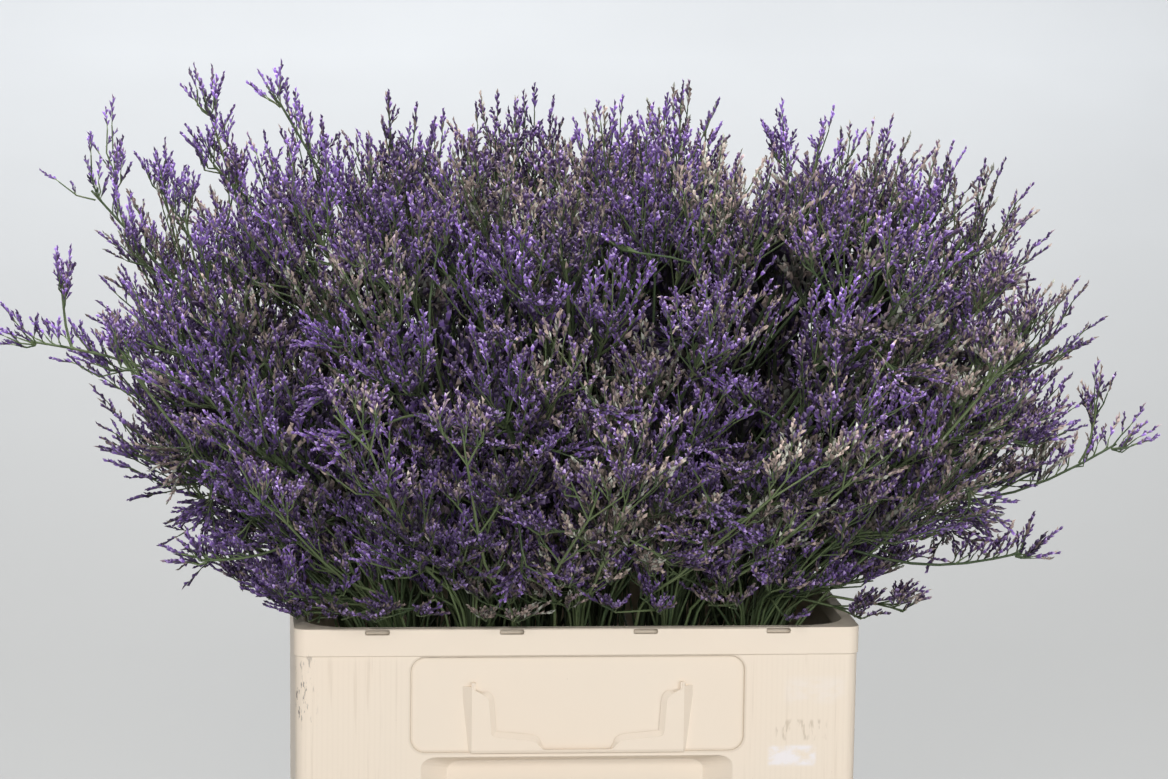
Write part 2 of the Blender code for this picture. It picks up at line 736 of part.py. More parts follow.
def grow_stalk(shape, face, route, radius, tip_radius):
    """Draw a core's lowest face out along the route, down to its root."""
    ring_centre = face.calc_center_median()
    below = (route[-2] - route[-1]).normalized()
    neck = route[-1] + below * (ring_centre - route[-1]).length * NECK_SHARE
    points = [neck, *reversed(route[:-1])]
    way = face.normal.copy()
    size = (face.verts[0].co - ring_centre).length
    for index, point in enumerate(points):
        new_way = (point - ring_centre).normalized()
        if index + 1 < len(points):
            new_way = ((points[index + 1] - point).normalized() + new_way).normalized()
        share = index / (len(points) - 1)
        new_size = tip_radius + (radius - tip_radius) * share
        turn = way.rotation_difference(new_way).to_matrix()
        face = bmesh.ops.extrude_discrete_faces(shape, faces=[face])["faces"][0]
        for corner in face.verts:
            corner.co = point + turn @ (corner.co - ring_centre) * (new_size / size)
        ring_centre, way, size = point, new_way, new_size


def head_object(name, plan, group):
    """A head with its spikes and its stalk, one closed solid."""
    shape = core_mesh(plan["size"])
    shape.faces.ensure_lookup_table()
    foot = min(shape.faces, key=lambda f: f.calc_center_median().z)
    chosen = [(shape.faces[index], tip) for index, tip in plan["spikes"].items()]
    tips = {}
    for face, tip in chosen:
        made = bmesh.ops.poke(shape, faces=[face])
        tips[made["verts"][0]] = tip
    for point, tip in tips.items():
        point.co = tip
    bmesh.ops.transform(shape, matrix=head_frame(plan), verts=shape.verts)
    shape.normal_update()
    tip_radius = min(plan["radius"], STEM_TIP_RADIUS)
    grow_stalk(shape, foot, plan["route"], plan["radius"], tip_radius)
    bmesh.ops.triangulate(shape, faces=shape.faces)
    bmesh.ops.recalc_face_normals(shape, faces=shape.faces)
    return object_from_bmesh(name, shape, group)


def is_closed(mesh):
    """Whether each edge has two faces."""
    shape = bmesh.new()
    shape.from_mesh(mesh)
    closed = all(edge.is_manifold for edge in shape.edges)
    shape.free()
    return closed


def fuse(target, group):
    """Join a collection's solids to the target in one union, and remove them."""
    for solver in ("EXACT", "MANIFOLD"):
        add_boolean(target, "UNION", group, solver)
        bpy.context.view_layer.update()
        ready = target.evaluated_get(bpy.context.evaluated_depsgraph_get())
        mesh = bpy.data.meshes.new_from_object(ready)
        target.modifiers.clear()
        if is_closed(mesh):
            break
    target.data = mesh
    for thing in list(group.objects):
        bpy.data.objects.remove(thing, do_unlink=True)


def make_stem(number, plans, group, parts, material):
    """One statice stem with its branches and heads, fused into one solid."""
    stem = head_object(f"statice_stem_{number:02d}", plans[0], group)
    for plan in plans[1:]:
        head_object("branch", plan, parts)
    fuse(stem, parts)
    stem.data.materials.clear()
    stem.data.materials.append(material)
    return stem


def main():
    """Build the bucket and the bunch."""
    clear_scene()
    group = make_collection("dried_statice")
    make_bucket(group)
    parts = make_collection("stem_parts")
    for number, plans in enumerate(plan_bunch(), start=1):
        shade = 1.0 - COLOUR_FADE * number / STEM_COUNT
        colour = [channel * shade for channel in FLOWER_COLOUR] + [1.0]
        material = make_material(f"statice_{number:02d}", colour, FLOWER_ROUGHNESS)
        make_stem(number, plans, group, parts, material)


main()
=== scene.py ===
"""Dressed scene for a bunch of dried statice that stands in a moulded plastic flower bucket.

Laid out as an add-on: sizes and colours are scene properties, and one operator makes each
group of pieces. The stems follow the same seeded rule as the part's solids, so every stalk,
branch and head lies where its solid is. Finer stalks, sprays and florets take their place.
"""

import json
import math
import random

import bmesh
import bpy
import numpy as np
from bpy.props import FloatProperty, FloatVectorProperty, IntProperty, PointerProperty
from bpy.types import Operator, Panel, PropertyGroup
from mathutils import Matrix, Vector

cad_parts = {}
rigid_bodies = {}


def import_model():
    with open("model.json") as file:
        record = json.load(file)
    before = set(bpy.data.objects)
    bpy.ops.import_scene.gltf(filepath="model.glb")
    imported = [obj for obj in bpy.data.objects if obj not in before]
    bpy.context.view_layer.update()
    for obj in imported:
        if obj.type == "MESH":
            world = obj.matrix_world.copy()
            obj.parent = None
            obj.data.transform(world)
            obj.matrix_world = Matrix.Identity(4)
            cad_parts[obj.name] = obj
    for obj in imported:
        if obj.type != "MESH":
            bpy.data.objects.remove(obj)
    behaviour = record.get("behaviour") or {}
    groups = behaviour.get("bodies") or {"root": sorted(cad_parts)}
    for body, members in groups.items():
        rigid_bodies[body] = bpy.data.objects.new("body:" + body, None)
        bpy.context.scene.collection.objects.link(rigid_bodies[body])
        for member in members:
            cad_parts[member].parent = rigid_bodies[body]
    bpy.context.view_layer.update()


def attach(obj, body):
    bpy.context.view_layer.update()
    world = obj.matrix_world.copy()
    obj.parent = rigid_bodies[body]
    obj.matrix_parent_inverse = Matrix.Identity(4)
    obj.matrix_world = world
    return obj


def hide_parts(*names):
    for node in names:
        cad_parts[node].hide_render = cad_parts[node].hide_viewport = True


bl_info = {
    "name": "Dried Statice in a Bucket",
    "version": (1, 0, 0),
    "blender": (4, 5, 0),
    "location": "View3D > Sidebar > Statice",
    "description": "Builds fine stalks, florets and a moulded bucket over the statice part",
    "category": "Add Mesh",
}

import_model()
UP = Vector((0.0, 0.0, 1.0))

# Bucket, as in the part
BUCKET_WIDTH = 0.390
BUCKET_DEPTH = 0.280
BUCKET_HEIGHT = 0.300
WALL_LEAN = 0.0015
WALL_THICKNESS = 0.0035
FLOOR_THICKNESS = 0.004
FOOT_CHAMFER = 0.003
OUTER_CORNER = 0.009
CAVITY_CORNER = 0.026
BAND_HEIGHT = 0.019
BAND_PROUD = 0.0008
LIP_WIDTH = 0.008
LIP_HEIGHT = 0.012
MOUTH_CORNER = 0.030
SLOT_CENTRES = (-0.138, -0.046, 0.046, 0.138)
SLOT_WIDTH = 0.0166
SLOT_DROPS = (0.0010, 0.0041)
SLOT_CORNER = 0.0014
SLOT_DEPTH = 0.003
PANEL_WIDTH = 0.230
PANEL_DROPS = (0.020, 0.0865)
PANEL_CORNER = 0.010
PANEL_DEPTH = 0.0016
WINDOW_WIDTH = 0.225
WINDOW_DROPS = (0.0885, 0.250)
WINDOW_CORNER = 0.007
WINDOW_DEPTH = 0.016
WINDOW_SLANT = 0.0235
TOP_SLANT = 0.3
FOOT_SLANT = 0.5
HOLDER_HALF_WIDTH = 0.0735
HOLDER_DROPS = (0.0375, 0.087)
HOLDER_SKIN = 0.0016
HOLDER_SLOT = 0.0018
HOLDER_EDGE = 0.003
GUSSET_WIDTH = 0.007
HOLDER_CUTOUT = (
    (0.0720, 0.0423),
    (0.0640, 0.0464),
    (0.0612, 0.0492),
    (0.0592, 0.0753),
    (0.0296, 0.0781),
    (0.0241, 0.0846),
)
ARM_TIP = 0.0017
LIP_SLOPE = 0.0034
LIP_HEEL = 0.0006
LIP_SINK = 0.0010
HOLDER_CHAMFER = 0.0003
HOLDER_TUCK = 0.0003
HOLDER_SINK = 0.0005
HOLDER_ROUNDS = (0.0008, 0.0004)
LIP_SET = 0.0003
LIP_FADES = (3.0, 2.0)
LIP_END = 0.3
GUSSET_FOOT = 0.0018
GUSSET_TRIMS = (0.003, 0.0004)
GUSSET_TUCK = 0.001
BAND_OVERLAP = 0.001
MOUTH_TRIMS = (0.002, 0.01)
CUT_PROUD = 0.004
CUTOUT_ROUNDS = (0.0012, 0.0025, 0.0015, 0.0030, 0.0030, 0.0025)
CORNER_STEPS = 8
CUTTER_STEPS = 5
WELD_REACH = 0.00004
SHARP_ANGLE = math.radians(32.0)

# Marks on the plastic: left, right, lowest and highest on the front wall
LABEL_AREA = (0.131, 0.167, 0.201, 0.218)
HAZE_AREA = (0.140, 0.188, 0.243, 0.268)
STROKE_AREA = (0.136, 0.174, 0.219, 0.236)
WARM_PLASTIC = (0.86, 0.72, 0.58)
DARK_MARK = (0.16, 0.13, 0.12)
# Painted shade inside the rim's slots
SLOT_SHADE = (0.38, 0.34, 0.27)
RIB_PITCH = 0.0036

# Where the plastic's marks and its painted shade fade in, from the first value to the second, and
# how strong they are
ON_LONG_WALLS = (0.13, 0.136)
GROOVE_FADE = (0.0022, 0.0006)
GROOVE_SHADE = 0.26
SLOT_FADE = 0.0004
SLOTS_WITHIN = (0.150, 0.1485)
SLOTS_BEYOND = (0.1340, 0.1350)
SLOT_DARKNESS = 0.6
BROAD_NOISE = (9.0, 4.0)
BROAD_BAND = (0.3, 0.7)
WARM_SHARE = 0.35
BESIDE_PANEL = (0.112, 0.122)
BELOW_RIM = (0.285, 0.275)
ABOVE_FOOT = (0.130, 0.200)
RIB_BAND = (-0.2, 1.0)
RIB_DARKENING = 0.03
RIB_HEIGHT = 0.12
RUB_SCALES = (260.0, 260.0, 9.0)
RUB_BAND = (0.58, 0.70)
RUB_GRIME = 0.16
RUB_ROUGHNESS = 0.15
RUB_HEIGHT = 0.2
SCRATCH_NOISE = ((420.0, 420.0, 90.0), 4.0, 0.7)
SCRATCH_BAND = (0.55, 0.63)
SCRATCH_X = (-0.176, -0.188)
SCRATCH_Y = (-0.125, -0.134)
SCRATCH_Z = ((0.228, 0.240), (0.284, 0.280))
SCRATCH_BREAKS = (60.0, 2.0)
SCRATCH_BREAK_BAND = (0.40, 0.52)
SCRATCH_DARKNESS = 0.85
SPECK_NOISE = (170.0, 5.0, 0.7)
SPECK_BAND = (0.69, 0.76)
SPECK_GRIME = 0.5
ON_FRONT = (-0.10, -0.12)
TORN_NOISE = ((60.0, 60.0, 110.0), 4.0)
TORN_BAND = (0.36, 0.58)
HAZE_FADE = 0.008
HAZE_STRENGTH = 0.24
LABEL_FADE = 0.003
LABEL_STRENGTH = 0.75
LABEL_ROUGHNESS = 0.2
LABEL_HEIGHT = 0.3
STROKE_SCALES = (240.0, 240.0, 60.0)
STROKE_BAND = (0.50, 0.62)
STROKE_STRENGTH = 0.45
RECESS_X = (0.1150, 0.1135)
RECESS_Y = (0.1215, 0.1230)
INSIDE_X = (0.187, 0.183)
INSIDE_Y = (0.132, 0.128)
# How much darker the bucket's inside is, from high to low
INSIDE_DARKER_DOWNWARDS = (0.31, 0.12, 0.25, 0.85)
PLASTIC_ROUGHNESS = (0.3, 0.7, 0.44, 0.52)
FINE_NOISE = (1300.0, 2.0)
FINE_HEIGHT = 0.06

# Where a floret's or a stalk's colour turns into the next
SILVER_BAND = (0.76, 0.88)
DEEP_BAND = (0.20, 0.42)
TAN_BAND = (0.52, 0.66)
TAN_TIP_BAND = (0.48, 0.62)
CALYX_BAND = (0.05, 0.35)
PETAL_BAND = (0.30, 0.55)
TIP_BAND = (0.68, 1.0)
TONE_WAVES = 57.0
TONE_LIGHT = (0.58, 1.80)
# Painted shade: how dark the deepest florets get
FLORET_DEPTH = (0.05, 1.0)
FLORET_ROUGHNESS = (0.3, 1.0, 0.80, 0.62)
RIDGE_WAVES = 44.0
RIDGE_HEIGHT = 0.5
STREAK_NOISE = ((900.0, 900.0, 108.0), 2.0)
PATCH_NOISE = (38.0, 3.0)
GREEN_BAND = (0.1, 0.9)
STREAK_BAND = (0.35, 0.75, 0.0, 0.45)
STRAW_BAND = (0.56, 0.78, 0.0, 0.7)
# Painted shade: how dark the deepest stalks get
STALK_DEPTH = (0.08, 1.0)
STALK_ROUGHNESS = (0.3, 0.7, 0.48, 0.72)

# The bunch, as in the part
STEM_COUNT = 44
SITE_CELL = 1.0 / math.sqrt(STEM_COUNT)
GOLDEN_ANGLE = math.pi * (3.0 - math.sqrt(5.0))
SITE_JITTER = 0.22
SITE_EDGE = 0.985
SEED = 41
STEM_SEAT_GAP = 0.0003
RIM_HALF = (0.171, 0.116)
RIM_POWER = 4.0
FOOT_SHRINK = 0.78
DOME_HALF = (0.312, 0.238)
DOME_POWER = 2.4
DOME_CENTRE_Z = 0.473
DOME_RISE = 0.127
DOME_DROP = 0.172
DOME_SHIFT_X = 0.019
DOME_ROUNDNESS = 0.76
LOWEST_ANGLE = math.radians(128.0)
OUTLINE_STEPS = 200
ROOT_LEAN = math.radians(24.0)
TIP_LEAN_SHARE = 0.60
ROOT_PULL = 0.38
TIP_PULL = 0.33
SWAY = 0.008
SWAY_RATE = 20.0
SWAY_PHASES = (1.3, 0.4, 2.0)
STEM_RADIUS = 0.0021
STEM_TIP_RADIUS = 0.0013
BRANCH_RADIUS = 0.0012
STEM_STEPS = (0.0, 0.3, 0.65)
FORK_STEPS = (0.08, 0.22, 0.36, 0.48)
FORK_SHIFT = 0.05
BRANCH_COUNTS = (3, 3, 4, 3)
BRANCH_STEPS = (0.5, 1.0)
BRANCH_BOW = 0.8
BRANCH_SPREAD = (0.45, 0.70)
BRANCH_SWING = 0.6
SITE_TURN = 9.0
BRANCH_REACH = (0.80, 0.99)
LOW_FROM = 0.50
LOW_REACH = (0.27, 0.60)
LOW_SIZE = 0.82
BRANCH_TRIES = 40
HEAD_SIZES = (0.88, 1.08)
CORE_RADIUS = 0.0120
CORE_STRETCH = 1.45
CORE_LINE = 0.4
HEAD_UPTURN = 0.35
SPIKE_LENGTH = (0.030, 0.042)
SPIKE_LIFT = 0.70
TOP_SPIKE_EXTRA = 0.012
SPIKE_CUTS = (1.0, 0.85, 0.7, 0.55, 0.42)
SPIKE_ROOT_SHARE = 0.62
SPIKE_TIP_RADIUS = 0.0004
NODE_GAP = 0.0009
BUCKET_GAP = 0.002
MOUTH_CORNER_SHARE = 0.2
LINE_SHARES = (0.0, 0.35, 0.7, 1.0)
STRAYS = (
    ((-0.376, -0.060, 0.488), 0.016, 0.55, 2),
    ((-0.336, 0.010, 0.587), 0.000, 0.80, 2),
    ((-0.254, 0.020, 0.645), 0.000, 0.55, 1),
    ((-0.204, 0.000, 0.651), 0.000, 0.45, 1),
    ((0.399, -0.020, 0.410), -0.020, 0.60, 3),
    ((0.312, -0.110, 0.346), -0.012, 0.50, 1),
    ((-0.257, -0.150, 0.350), -0.010, 0.45, 1),
)
STRAY_FORK = 0.5
STRAY_HEAD = 20
STRAY_RADIUS = 0.0011
STRAY_STEPS = (*STEM_STEPS, 1.0)
STRAY_BENDS = (0.0, 0.02, -0.02, 0.04, -0.04)
STRAY_HOSTS = 6
TWIG_ROOT = 0.55
TWIG_SPACING = 0.5
TWIG_ASIDE = 0.012
TWIG_RISE = 0.016
TWIG_OUT = 0.005
TWIG_SIZE = 0.9

# Finer growth that the solids leave out
ROUTE_STEPS = 8
FINE_STEPS = [float(step) for step in np.linspace(0.0, 1.0, ROUTE_STEPS)]
SHOOT_SPREAD = (0.15, 0.75)
SHOOT_START = (-0.55, 0.30)
SHOOT_REACH = (0.30, 0.90)
SHOOT_SIZE = 0.85
LONG_SHOOT = 0.45
SHOOT_RADIUS = 0.0009
RIM_SHOOT_SHARE = (0.55, 1.22)
RIM_SHOOT_START = (-0.40, 0.02)
RIM_SHOOT_REACH = (0.05, 0.42)
RIM_SHOOT_SPREAD = (0.10, 0.50)
EDGE_SHOOTS = 60
EDGE_INWARDS = (-0.022, 0.040)
EDGE_RISE = (0.008, 0.070)
EDGE_START = (-0.45, -0.12)
CORNER_ENDS = (
    (-0.176, -0.122, 0.309), (-0.186, -0.108, 0.318), (-0.184, -0.086, 0.312),
    (-0.166, -0.128, 0.316), (-0.198, -0.126, 0.330), (-0.150, -0.130, 0.309),
    (0.178, -0.122, 0.311), (0.188, -0.100, 0.322), (-0.112, -0.132, 0.313),
    (-0.060, -0.133, 0.310), (-0.015, -0.132, 0.316), (0.052, -0.132, 0.311),
    (0.104, -0.133, 0.314), (0.140, -0.131, 0.309), (0.166, -0.106, 0.320),
    (0.176, -0.088, 0.330), (0.181, -0.060, 0.318),
)
GAP_TRIES = 500
GAP_RISE = (0.86, 1.0)
GAP_ROOM = 0.030
SHOULDER_HEADS = (
    (-0.270, -0.030, 0.572), (-0.250, 0.020, 0.604), (-0.299, -0.010, 0.538),
    (-0.236, -0.050, 0.592), (-0.286, 0.040, 0.584), (-0.323, -0.040, 0.465),
    (0.152, -0.020, 0.615),
)
SKIRT_TRIES = 440
SKIRT_HALF_X = (0.168, 0.262)
SKIRT_HALF_Y = (0.114, 0.196)
SKIRT_Z = (0.318, 0.395)
SKIRT_ROOM = 0.026
FILLER_STEPS = 5
INNER_TRIES = 300
INNER_RISE = (0.66, 0.84)
INNER_ROOM = 0.036
CORE_TRIES = 245
CORE_RISE = (0.36, 0.66)
CORE_ROOM = 0.040
CORE_BULK = 1.5
HOLLOW = ((0.135, 0.010, 0.512), (0.105, 0.090, 0.040))
HOLLOW_TRIES = 120
HOLLOW_ROOM = 0.030
GAP_HEADS = (
    (0.172, 0.040, 0.495), (0.183, 0.060, 0.501), (0.230, 0.050, 0.518), (0.160, -0.020, 0.482),
    (0.213, -0.030, 0.528), (0.079, 0.050, 0.527), (0.125, 0.050, 0.505),
)
GAP_HEAD_ROOM = 0.012
FRONT_STEMS = 24
FRONT_HEIGHT = (0.375, 0.475)
FRONT_OUT = 1.02
FRONT_RADIUS = 0.0014
FRONT_MOODS = (0.45, 1.0)
FRONT_FORKS = ((-1, 5), (-1, 7), (-1, 9), (0, 9), (1, 5), (1, 7), (1, 9))
FRONT_FORK_REACH = (0.026, 0.045)
FRONT_TUFT_REACH = (0.020, 0.036)
SPRAY_RADIUS = 0.00055
SPRAY_STEPS = 2
SPRAY_SHORTEST = 0.006
SPRAY_SPLAY = (0.30, 0.70)
SPRAY_RAISE = (0.20, 0.65)
END_SIZES = (0.85, 1.1)
SIDE_SIZES = (0.70, 1.05)
# Painted shade: the share of light left at a spray's root
ROOT_DIM = 0.12
SILVER_MOODS = (0.70, 1.0)
VIOLET_MOODS = (0.0, 0.60)
HEAD_MOOD_STEP = 0.22
HEAD_LIGHT = (0.50, 1.0)
STRAY_MOODS = (0.05, 0.45)
STRAY_BARE_SPIKES = 0.55
STRAY_SPRAY_REACH = (0.016, 0.030)
TWIG_REACH = (0.026, 0.050)
STALK_TWIGS_FROM = 0.62
BRANCH_TWIGS_FROM = 0.35
SHOOT_TWIGS_FROM = 0.55
TUFT_REACH = (0.030, 0.048)
FORK_REACH = (0.012, 0.040)
FORK_TUFT_REACH = (0.018, 0.032)
TIP_ROOM = 0.006
HEAD_TIP_ROOM = 0.004
FORK_ROOM = 0.003
DIM_LIGHT = 0.45
DEEP_LIGHT = 0.2
# Painted shade: each floret and stalk keeps a shade that darkens its colour, in this many steps
SHADE_LEVELS = 8
# Painted shade: spikelets darker towards the rim, from the foot height up over the span
LOW_SHADE = 0.60
LOW_SHADE_FOOT = 0.32
LOW_SHADE_SPAN = 0.14
MOOD_DRIFT = 0.45
PLAIN_WEIGHT = 0.42
PLAIN_STRETCH = 1.35
PLAIN_WIDEN = 1.55
OPEN_SHARE = 0.66
OPEN_HEIGHTS = (0.76, 0.88, 1.08)
BUD_HEIGHTS = (0.55, 0.70, 1.12)
BUD_WIDTH = 0.8
GROUPS = 6

# How lines taper, sprays bow and twigs point: shares, light, and small lengths in metres
BARE_SHARE = 0.25
FLARE = 1.3
TAPER = 0.7
SHOOT_TAPER = 0.8
BRANCH_TAPER = 0.75
STALK_LIGHT = 0.85
STAGGER = (0.1, 0.9)
TWIG_STRETCH = 1.6
CORE_PROBE = 0.001
SPRAY_BOW = (-0.14, 0.02)
SPRAY_BEND = (-0.08, 0.08)
SPRAY_DIMS = (0.72, 1.0)
END_OVERLAP = 0.92
END_SHARE = 0.6
SIDE_STAGGER = (0.35, 0.9)
UPPER_ALONG = 0.5
UPPER_ASIDE = 0.3
HEAD_ROOTS = (0.0, 0.2)
HEAD_DROPS = (0.0, 0.018)
HEAD_NUDGE = 0.005
FEWEST_SPIKES = 4
LONE_SPRAY = 0.02
LONE_LIGHT = 0.8
SMALL_SPRAY = 4
SMALLEST_SPRAY = 2
STRAY_ROOT = 0.2
STRAY_BARE = (0.1, 0.2)
STRAY_SPRAYS = (9, 4)
STRAY_SPRAYS_FROM = 0.62
STRAY_SPRAYS_SPAN = 0.36
STRAY_LIFTS = (0.4, 1.0)
STRAY_ASIDE = 0.5
TWIGS_TO = 0.95
TWIG_SLANT = 0.8
TWIG_LIFT = 0.25
TWIG_MIDDLE = 0.6
TWIG_BARE = 0.4
TWIG_LIGHT = (0.2, 0.5)
TUFT_TILT = 0.2
TUFT_ALONG = (0.7, 1.4)
TUFT_ASIDE = (0.2, 0.85)
TUFT_ROOTS = (0.0, 0.6)
TUFT_BARE = 0.35
TURNED_BACK = 0.5
SHOOT_LIGHT = (0.10, 0.5)
SHOOT_LIGHT_FROM = 0.2
RIM_RISE = 0.1
EDGE_PULL = 0.45
EDGE_CLEARANCE = 0.006
RIM_LIGHT = (0.22, 0.90, 0.35)
RIM_LIGHT_FROM = 0.50
RIM_LIGHT_RISE = 0.12
RIM_LIGHT_LEAST = 0.20
FORK_SPLAY = 0.8
FORK_LIFT = 0.15
SKIRT_LIFT = (-0.008, 0.012)
FILLER_PULL = 0.45
FILLER_DIMS = (0.6, 1.0)
HALVINGS = 24
FRONT_NUDGE = 0.012
FRONT_ROOT = (0.86, -0.06)
FRONT_RIM = (0.98, 0.008)
FRONT_MIDDLE = (0.45, 0.42)
FRONT_SPLAY = (0.5, 0.9)
FRONT_FORK_OUT = 0.15
FRONT_FORK_LIFT = 0.35

# The spikelets: their own shape, then each floret's
SPIKELET_LENGTHS = (0.9, 1.1)
SPIKELET_BOWS = (0.02, 0.18)
SPIKELET_SWINGS = (-0.12, 0.12)
AXIS_END = 0.9
AXIS_TONE = 0.5
LAST_FLORET = 0.92
FLORET_ASIDE = (0.10, 0.38)
FLORET_UP = (0.02, 0.42)
END_FLORET_UP = 0.2
FLORET_TAPER = 0.30
FLORET_LENGTHS = (0.85, 1.2)
FLORET_WIDTHS = (0.8, 1.15)
FLORET_SINK = 0.0006
FLORET_FLARE = (1.5, 0.6)
OPEN_TONES = (0.0, 0.50)
BUD_TONES = (0.70, 1.0)
KIND_SHARES = (0.46, 0.62)

# Where a floret lies in the map: kind from left to right, a row for each shade
CHART_START = 0.02
CHART_SPAN = 0.95
CHART_STEP = 0.004
ROW_START = 0.06
ROW_SPAN = 0.88

# Streams of random draws
BRANCH_SEED = SEED * 1000
SPIKE_SEED = SEED * 5000
GROWTH_SEED = SEED * 9000
SHOOT_SEED = SEED * 333
EDGE_SEED = SEED * 555
FILL_SEED = SEED * 777
FRONT_SEED = SEED * 99
KIT_SEED = SEED * 70
SPOT_SEED = SEED * 31

# The stage: the sheet behind, the sky and the camera
SHEET_START = 1.0
SHEET_RADIUS = 5.0
SHEET_HALF = 6.0
SHEET_STEPS = 32
SHEET_DROP = 0.0005
# Painted shade: the sheet darker towards the floor
SHEET_FOOT_SHADE = (0.54, 0.525, 0.50)
SHEET_FOOT_SPAN = (-0.05, 0.55)
SHEET_CLOUD_TONE = 0.95
SHEET_CLOUD_SCALE = 1.6
SHEET_CLOUD_BAND = (0.3, 0.7)
SHEET_ROUGHNESS = 0.9
SKY_COLOUR = (0.93, 0.96, 1.0, 1.0)
SKY_STRENGTH = 0.17
SENSOR_WIDTH = 36.0

# Small limits
TINY_SQUARE = 1e-14
TINY_LENGTH = 1e-5
EDGE_TOLERANCE = 1e-4
ROUND_LIMIT = 0.48
MITRE_LIMIT = 0.4


def clamp(value, low=0.0, high=1.0):
    """The value, kept between two limits."""
    return min(high, max(low, value))


def blend(low, high, share):
    """The value this share of the way from one to the other."""
    return low + (high - low) * share


def compass(angle, z=0.0):
    """The flat unit vector at an angle, at this height."""
    return Vector((math.cos(angle), math.sin(angle), z))


# The way the stems fan out


def superellipse(angle, half_x, half_y, power):
    """Distance from the centre to a rounded oblong's edge, in the direction angle."""
    across = abs(math.cos(angle)) / half_x
    along = abs(math.sin(angle)) / half_y
    return (across**power + along**power) ** (-1.0 / power)


def signed_power(value, power):
    """A power that keeps the sign."""
    return math.copysign(abs(value) ** power, value)


def dome_outline(fall):
    """Share of the dome's half width, and height, at an angle down from its top."""
    reach = signed_power(math.sin(fall), DOME_ROUNDNESS)
    lift = signed_power(math.cos(fall), DOME_ROUNDNESS)
    return reach, DOME_CENTRE_Z + lift * (DOME_RISE if lift > 0.0 else DOME_DROP)


def dome_shares():
    """How much of the dome's surface lies above each angle down from its top."""
    falls = np.linspace(0.0, LOWEST_ANGLE, OUTLINE_STEPS)
    outline = np.array([dome_outline(fall) for fall in falls])
    radii = outline[:, 0] * sum(DOME_HALF) / 2.0
    slopes = np.hypot(np.diff(radii), np.diff(outline[:, 1]))
    bands = slopes * (radii[1:] + radii[:-1])
    return falls, np.concatenate(([0.0], np.cumsum(bands))) / bands.sum()


DOME_FALLS, DOME_SHARES = dome_shares()


def bunch_point(u, v, rise):
    """Where the stem that stands at (u, v) of the unit disc is, at rise 0 (rim) to 1 (tips)."""
    share = math.hypot(u, v)
    angle = math.atan2(v, u)
    fall = float(np.interp(share**2, DOME_SHARES, DOME_FALLS))
    reach, height = dome_outline(fall)
    root = (share * superellipse(angle, *RIM_HALF, RIM_POWER), BUCKET_HEIGHT)
    tip = (reach * superellipse(angle, *DOME_HALF, DOME_POWER), height)
    span = math.hypot(tip[0] - root[0], tip[1] - root[1])
    lean, pull = share * ROOT_LEAN, ROOT_PULL * span
    first = (root[0] + pull * math.sin(lean), root[1] + pull * math.cos(lean))
    lean, pull = fall * TIP_LEAN_SHARE, TIP_PULL * span
    second = (tip[0] - pull * math.sin(lean), tip[1] - pull * math.cos(lean))
    rest = 1.0 - rise
    weights = rest**3, 3.0 * rest**2 * rise, 3.0 * rest * rise**2, rise**3
    corners = root, first, second, tip
    out, up = (sum(w * p[axis] for w, p in zip(weights, corners)) for axis in (0, 1))
    x, y = out * math.cos(angle), out * math.sin(angle)
    drift = rise * SWAY
    x_sway = drift * math.sin(SWAY_RATE * y + SWAY_PHASES[0]) * math.cos(SWAY_RATE * up)
    y_sway = drift * math.sin(SWAY_RATE * x + SWAY_PHASES[1])
    y_sway *= math.cos(SWAY_RATE * up + SWAY_PHASES[2])
    return Vector((x + x_sway + rise * DOME_SHIFT_X, y + y_sway, up))


def foot_point(u, v):
    """Where a stem stands on the bucket's floor."""
    above = bunch_point(u, v, 0.0)
    z = FLOOR_THICKNESS + STEM_SEAT_GAP
    return Vector((above.x * FOOT_SHRINK, above.y * FOOT_SHRINK, z))


def stem_point(u, v, rise):
    """As bunch_point, and down to -1 at the bucket's floor."""
    if rise >= 0.0:
        return bunch_point(u, v, rise)
    return bunch_point(u, v, 0.0).lerp(foot_point(u, v), -rise)


def stem_sites():
    """Evenly spread places in the unit disc, in the order of a sunflower's seeds."""
    draw = random.Random(SEED)
    sites = []
    for index in range(STEM_COUNT):
        share = SITE_EDGE * math.sqrt((index + 0.5) / STEM_COUNT)
        angle = index * GOLDEN_ANGLE
        u = share * math.cos(angle) + draw.uniform(-SITE_JITTER, SITE_JITTER) * SITE_CELL
        v = share * math.sin(angle) + draw.uniform(-SITE_JITTER, SITE_JITTER) * SITE_CELL
        shrink = min(1.0, SITE_EDGE / max(math.hypot(u, v), 1e-6))
        sites.append((u * shrink, v * shrink))
    return sites


class Crowd:
    """Every stalk, core and spike placed so far, each as a line that tapers, with its stem."""

    def __init__(self):
        self.lines = []

    def add(self, owner, start, end, start_radius, end_radius):
        """Remember one line."""
        self.lines.append((owner, start, end, start_radius, end_radius))

    def is_clear(self, owner, start, end, start_radius, end_radius, whole_stem=True):
        """Whether a line keeps its gap to the bucket and to all that isn't its own."""
        for share in LINE_SHARES:
            if not clear_of_bucket(start.lerp(end, share), blend(start_radius, end_radius, share)):
                return False
        middle = (start + end) / 2.0
        reach = (end - start).length / 2.0 + max(start_radius, end_radius) + NODE_GAP
        for other, a, b, a_radius, b_radius in self.lines:
            if other == owner or (whole_stem and other[0] == owner[0]):
                continue
            far = reach + (b - a).length / 2.0 + max(a_radius, b_radius)
            if (middle - (a + b) / 2.0).length_squared > far * far:
                continue
            distance, here, there = line_distance(start, end, a, b)
            need = blend(start_radius, end_radius, here)
            need += blend(a_radius, b_radius, there) + NODE_GAP
            if distance < need:
                return False
        return True


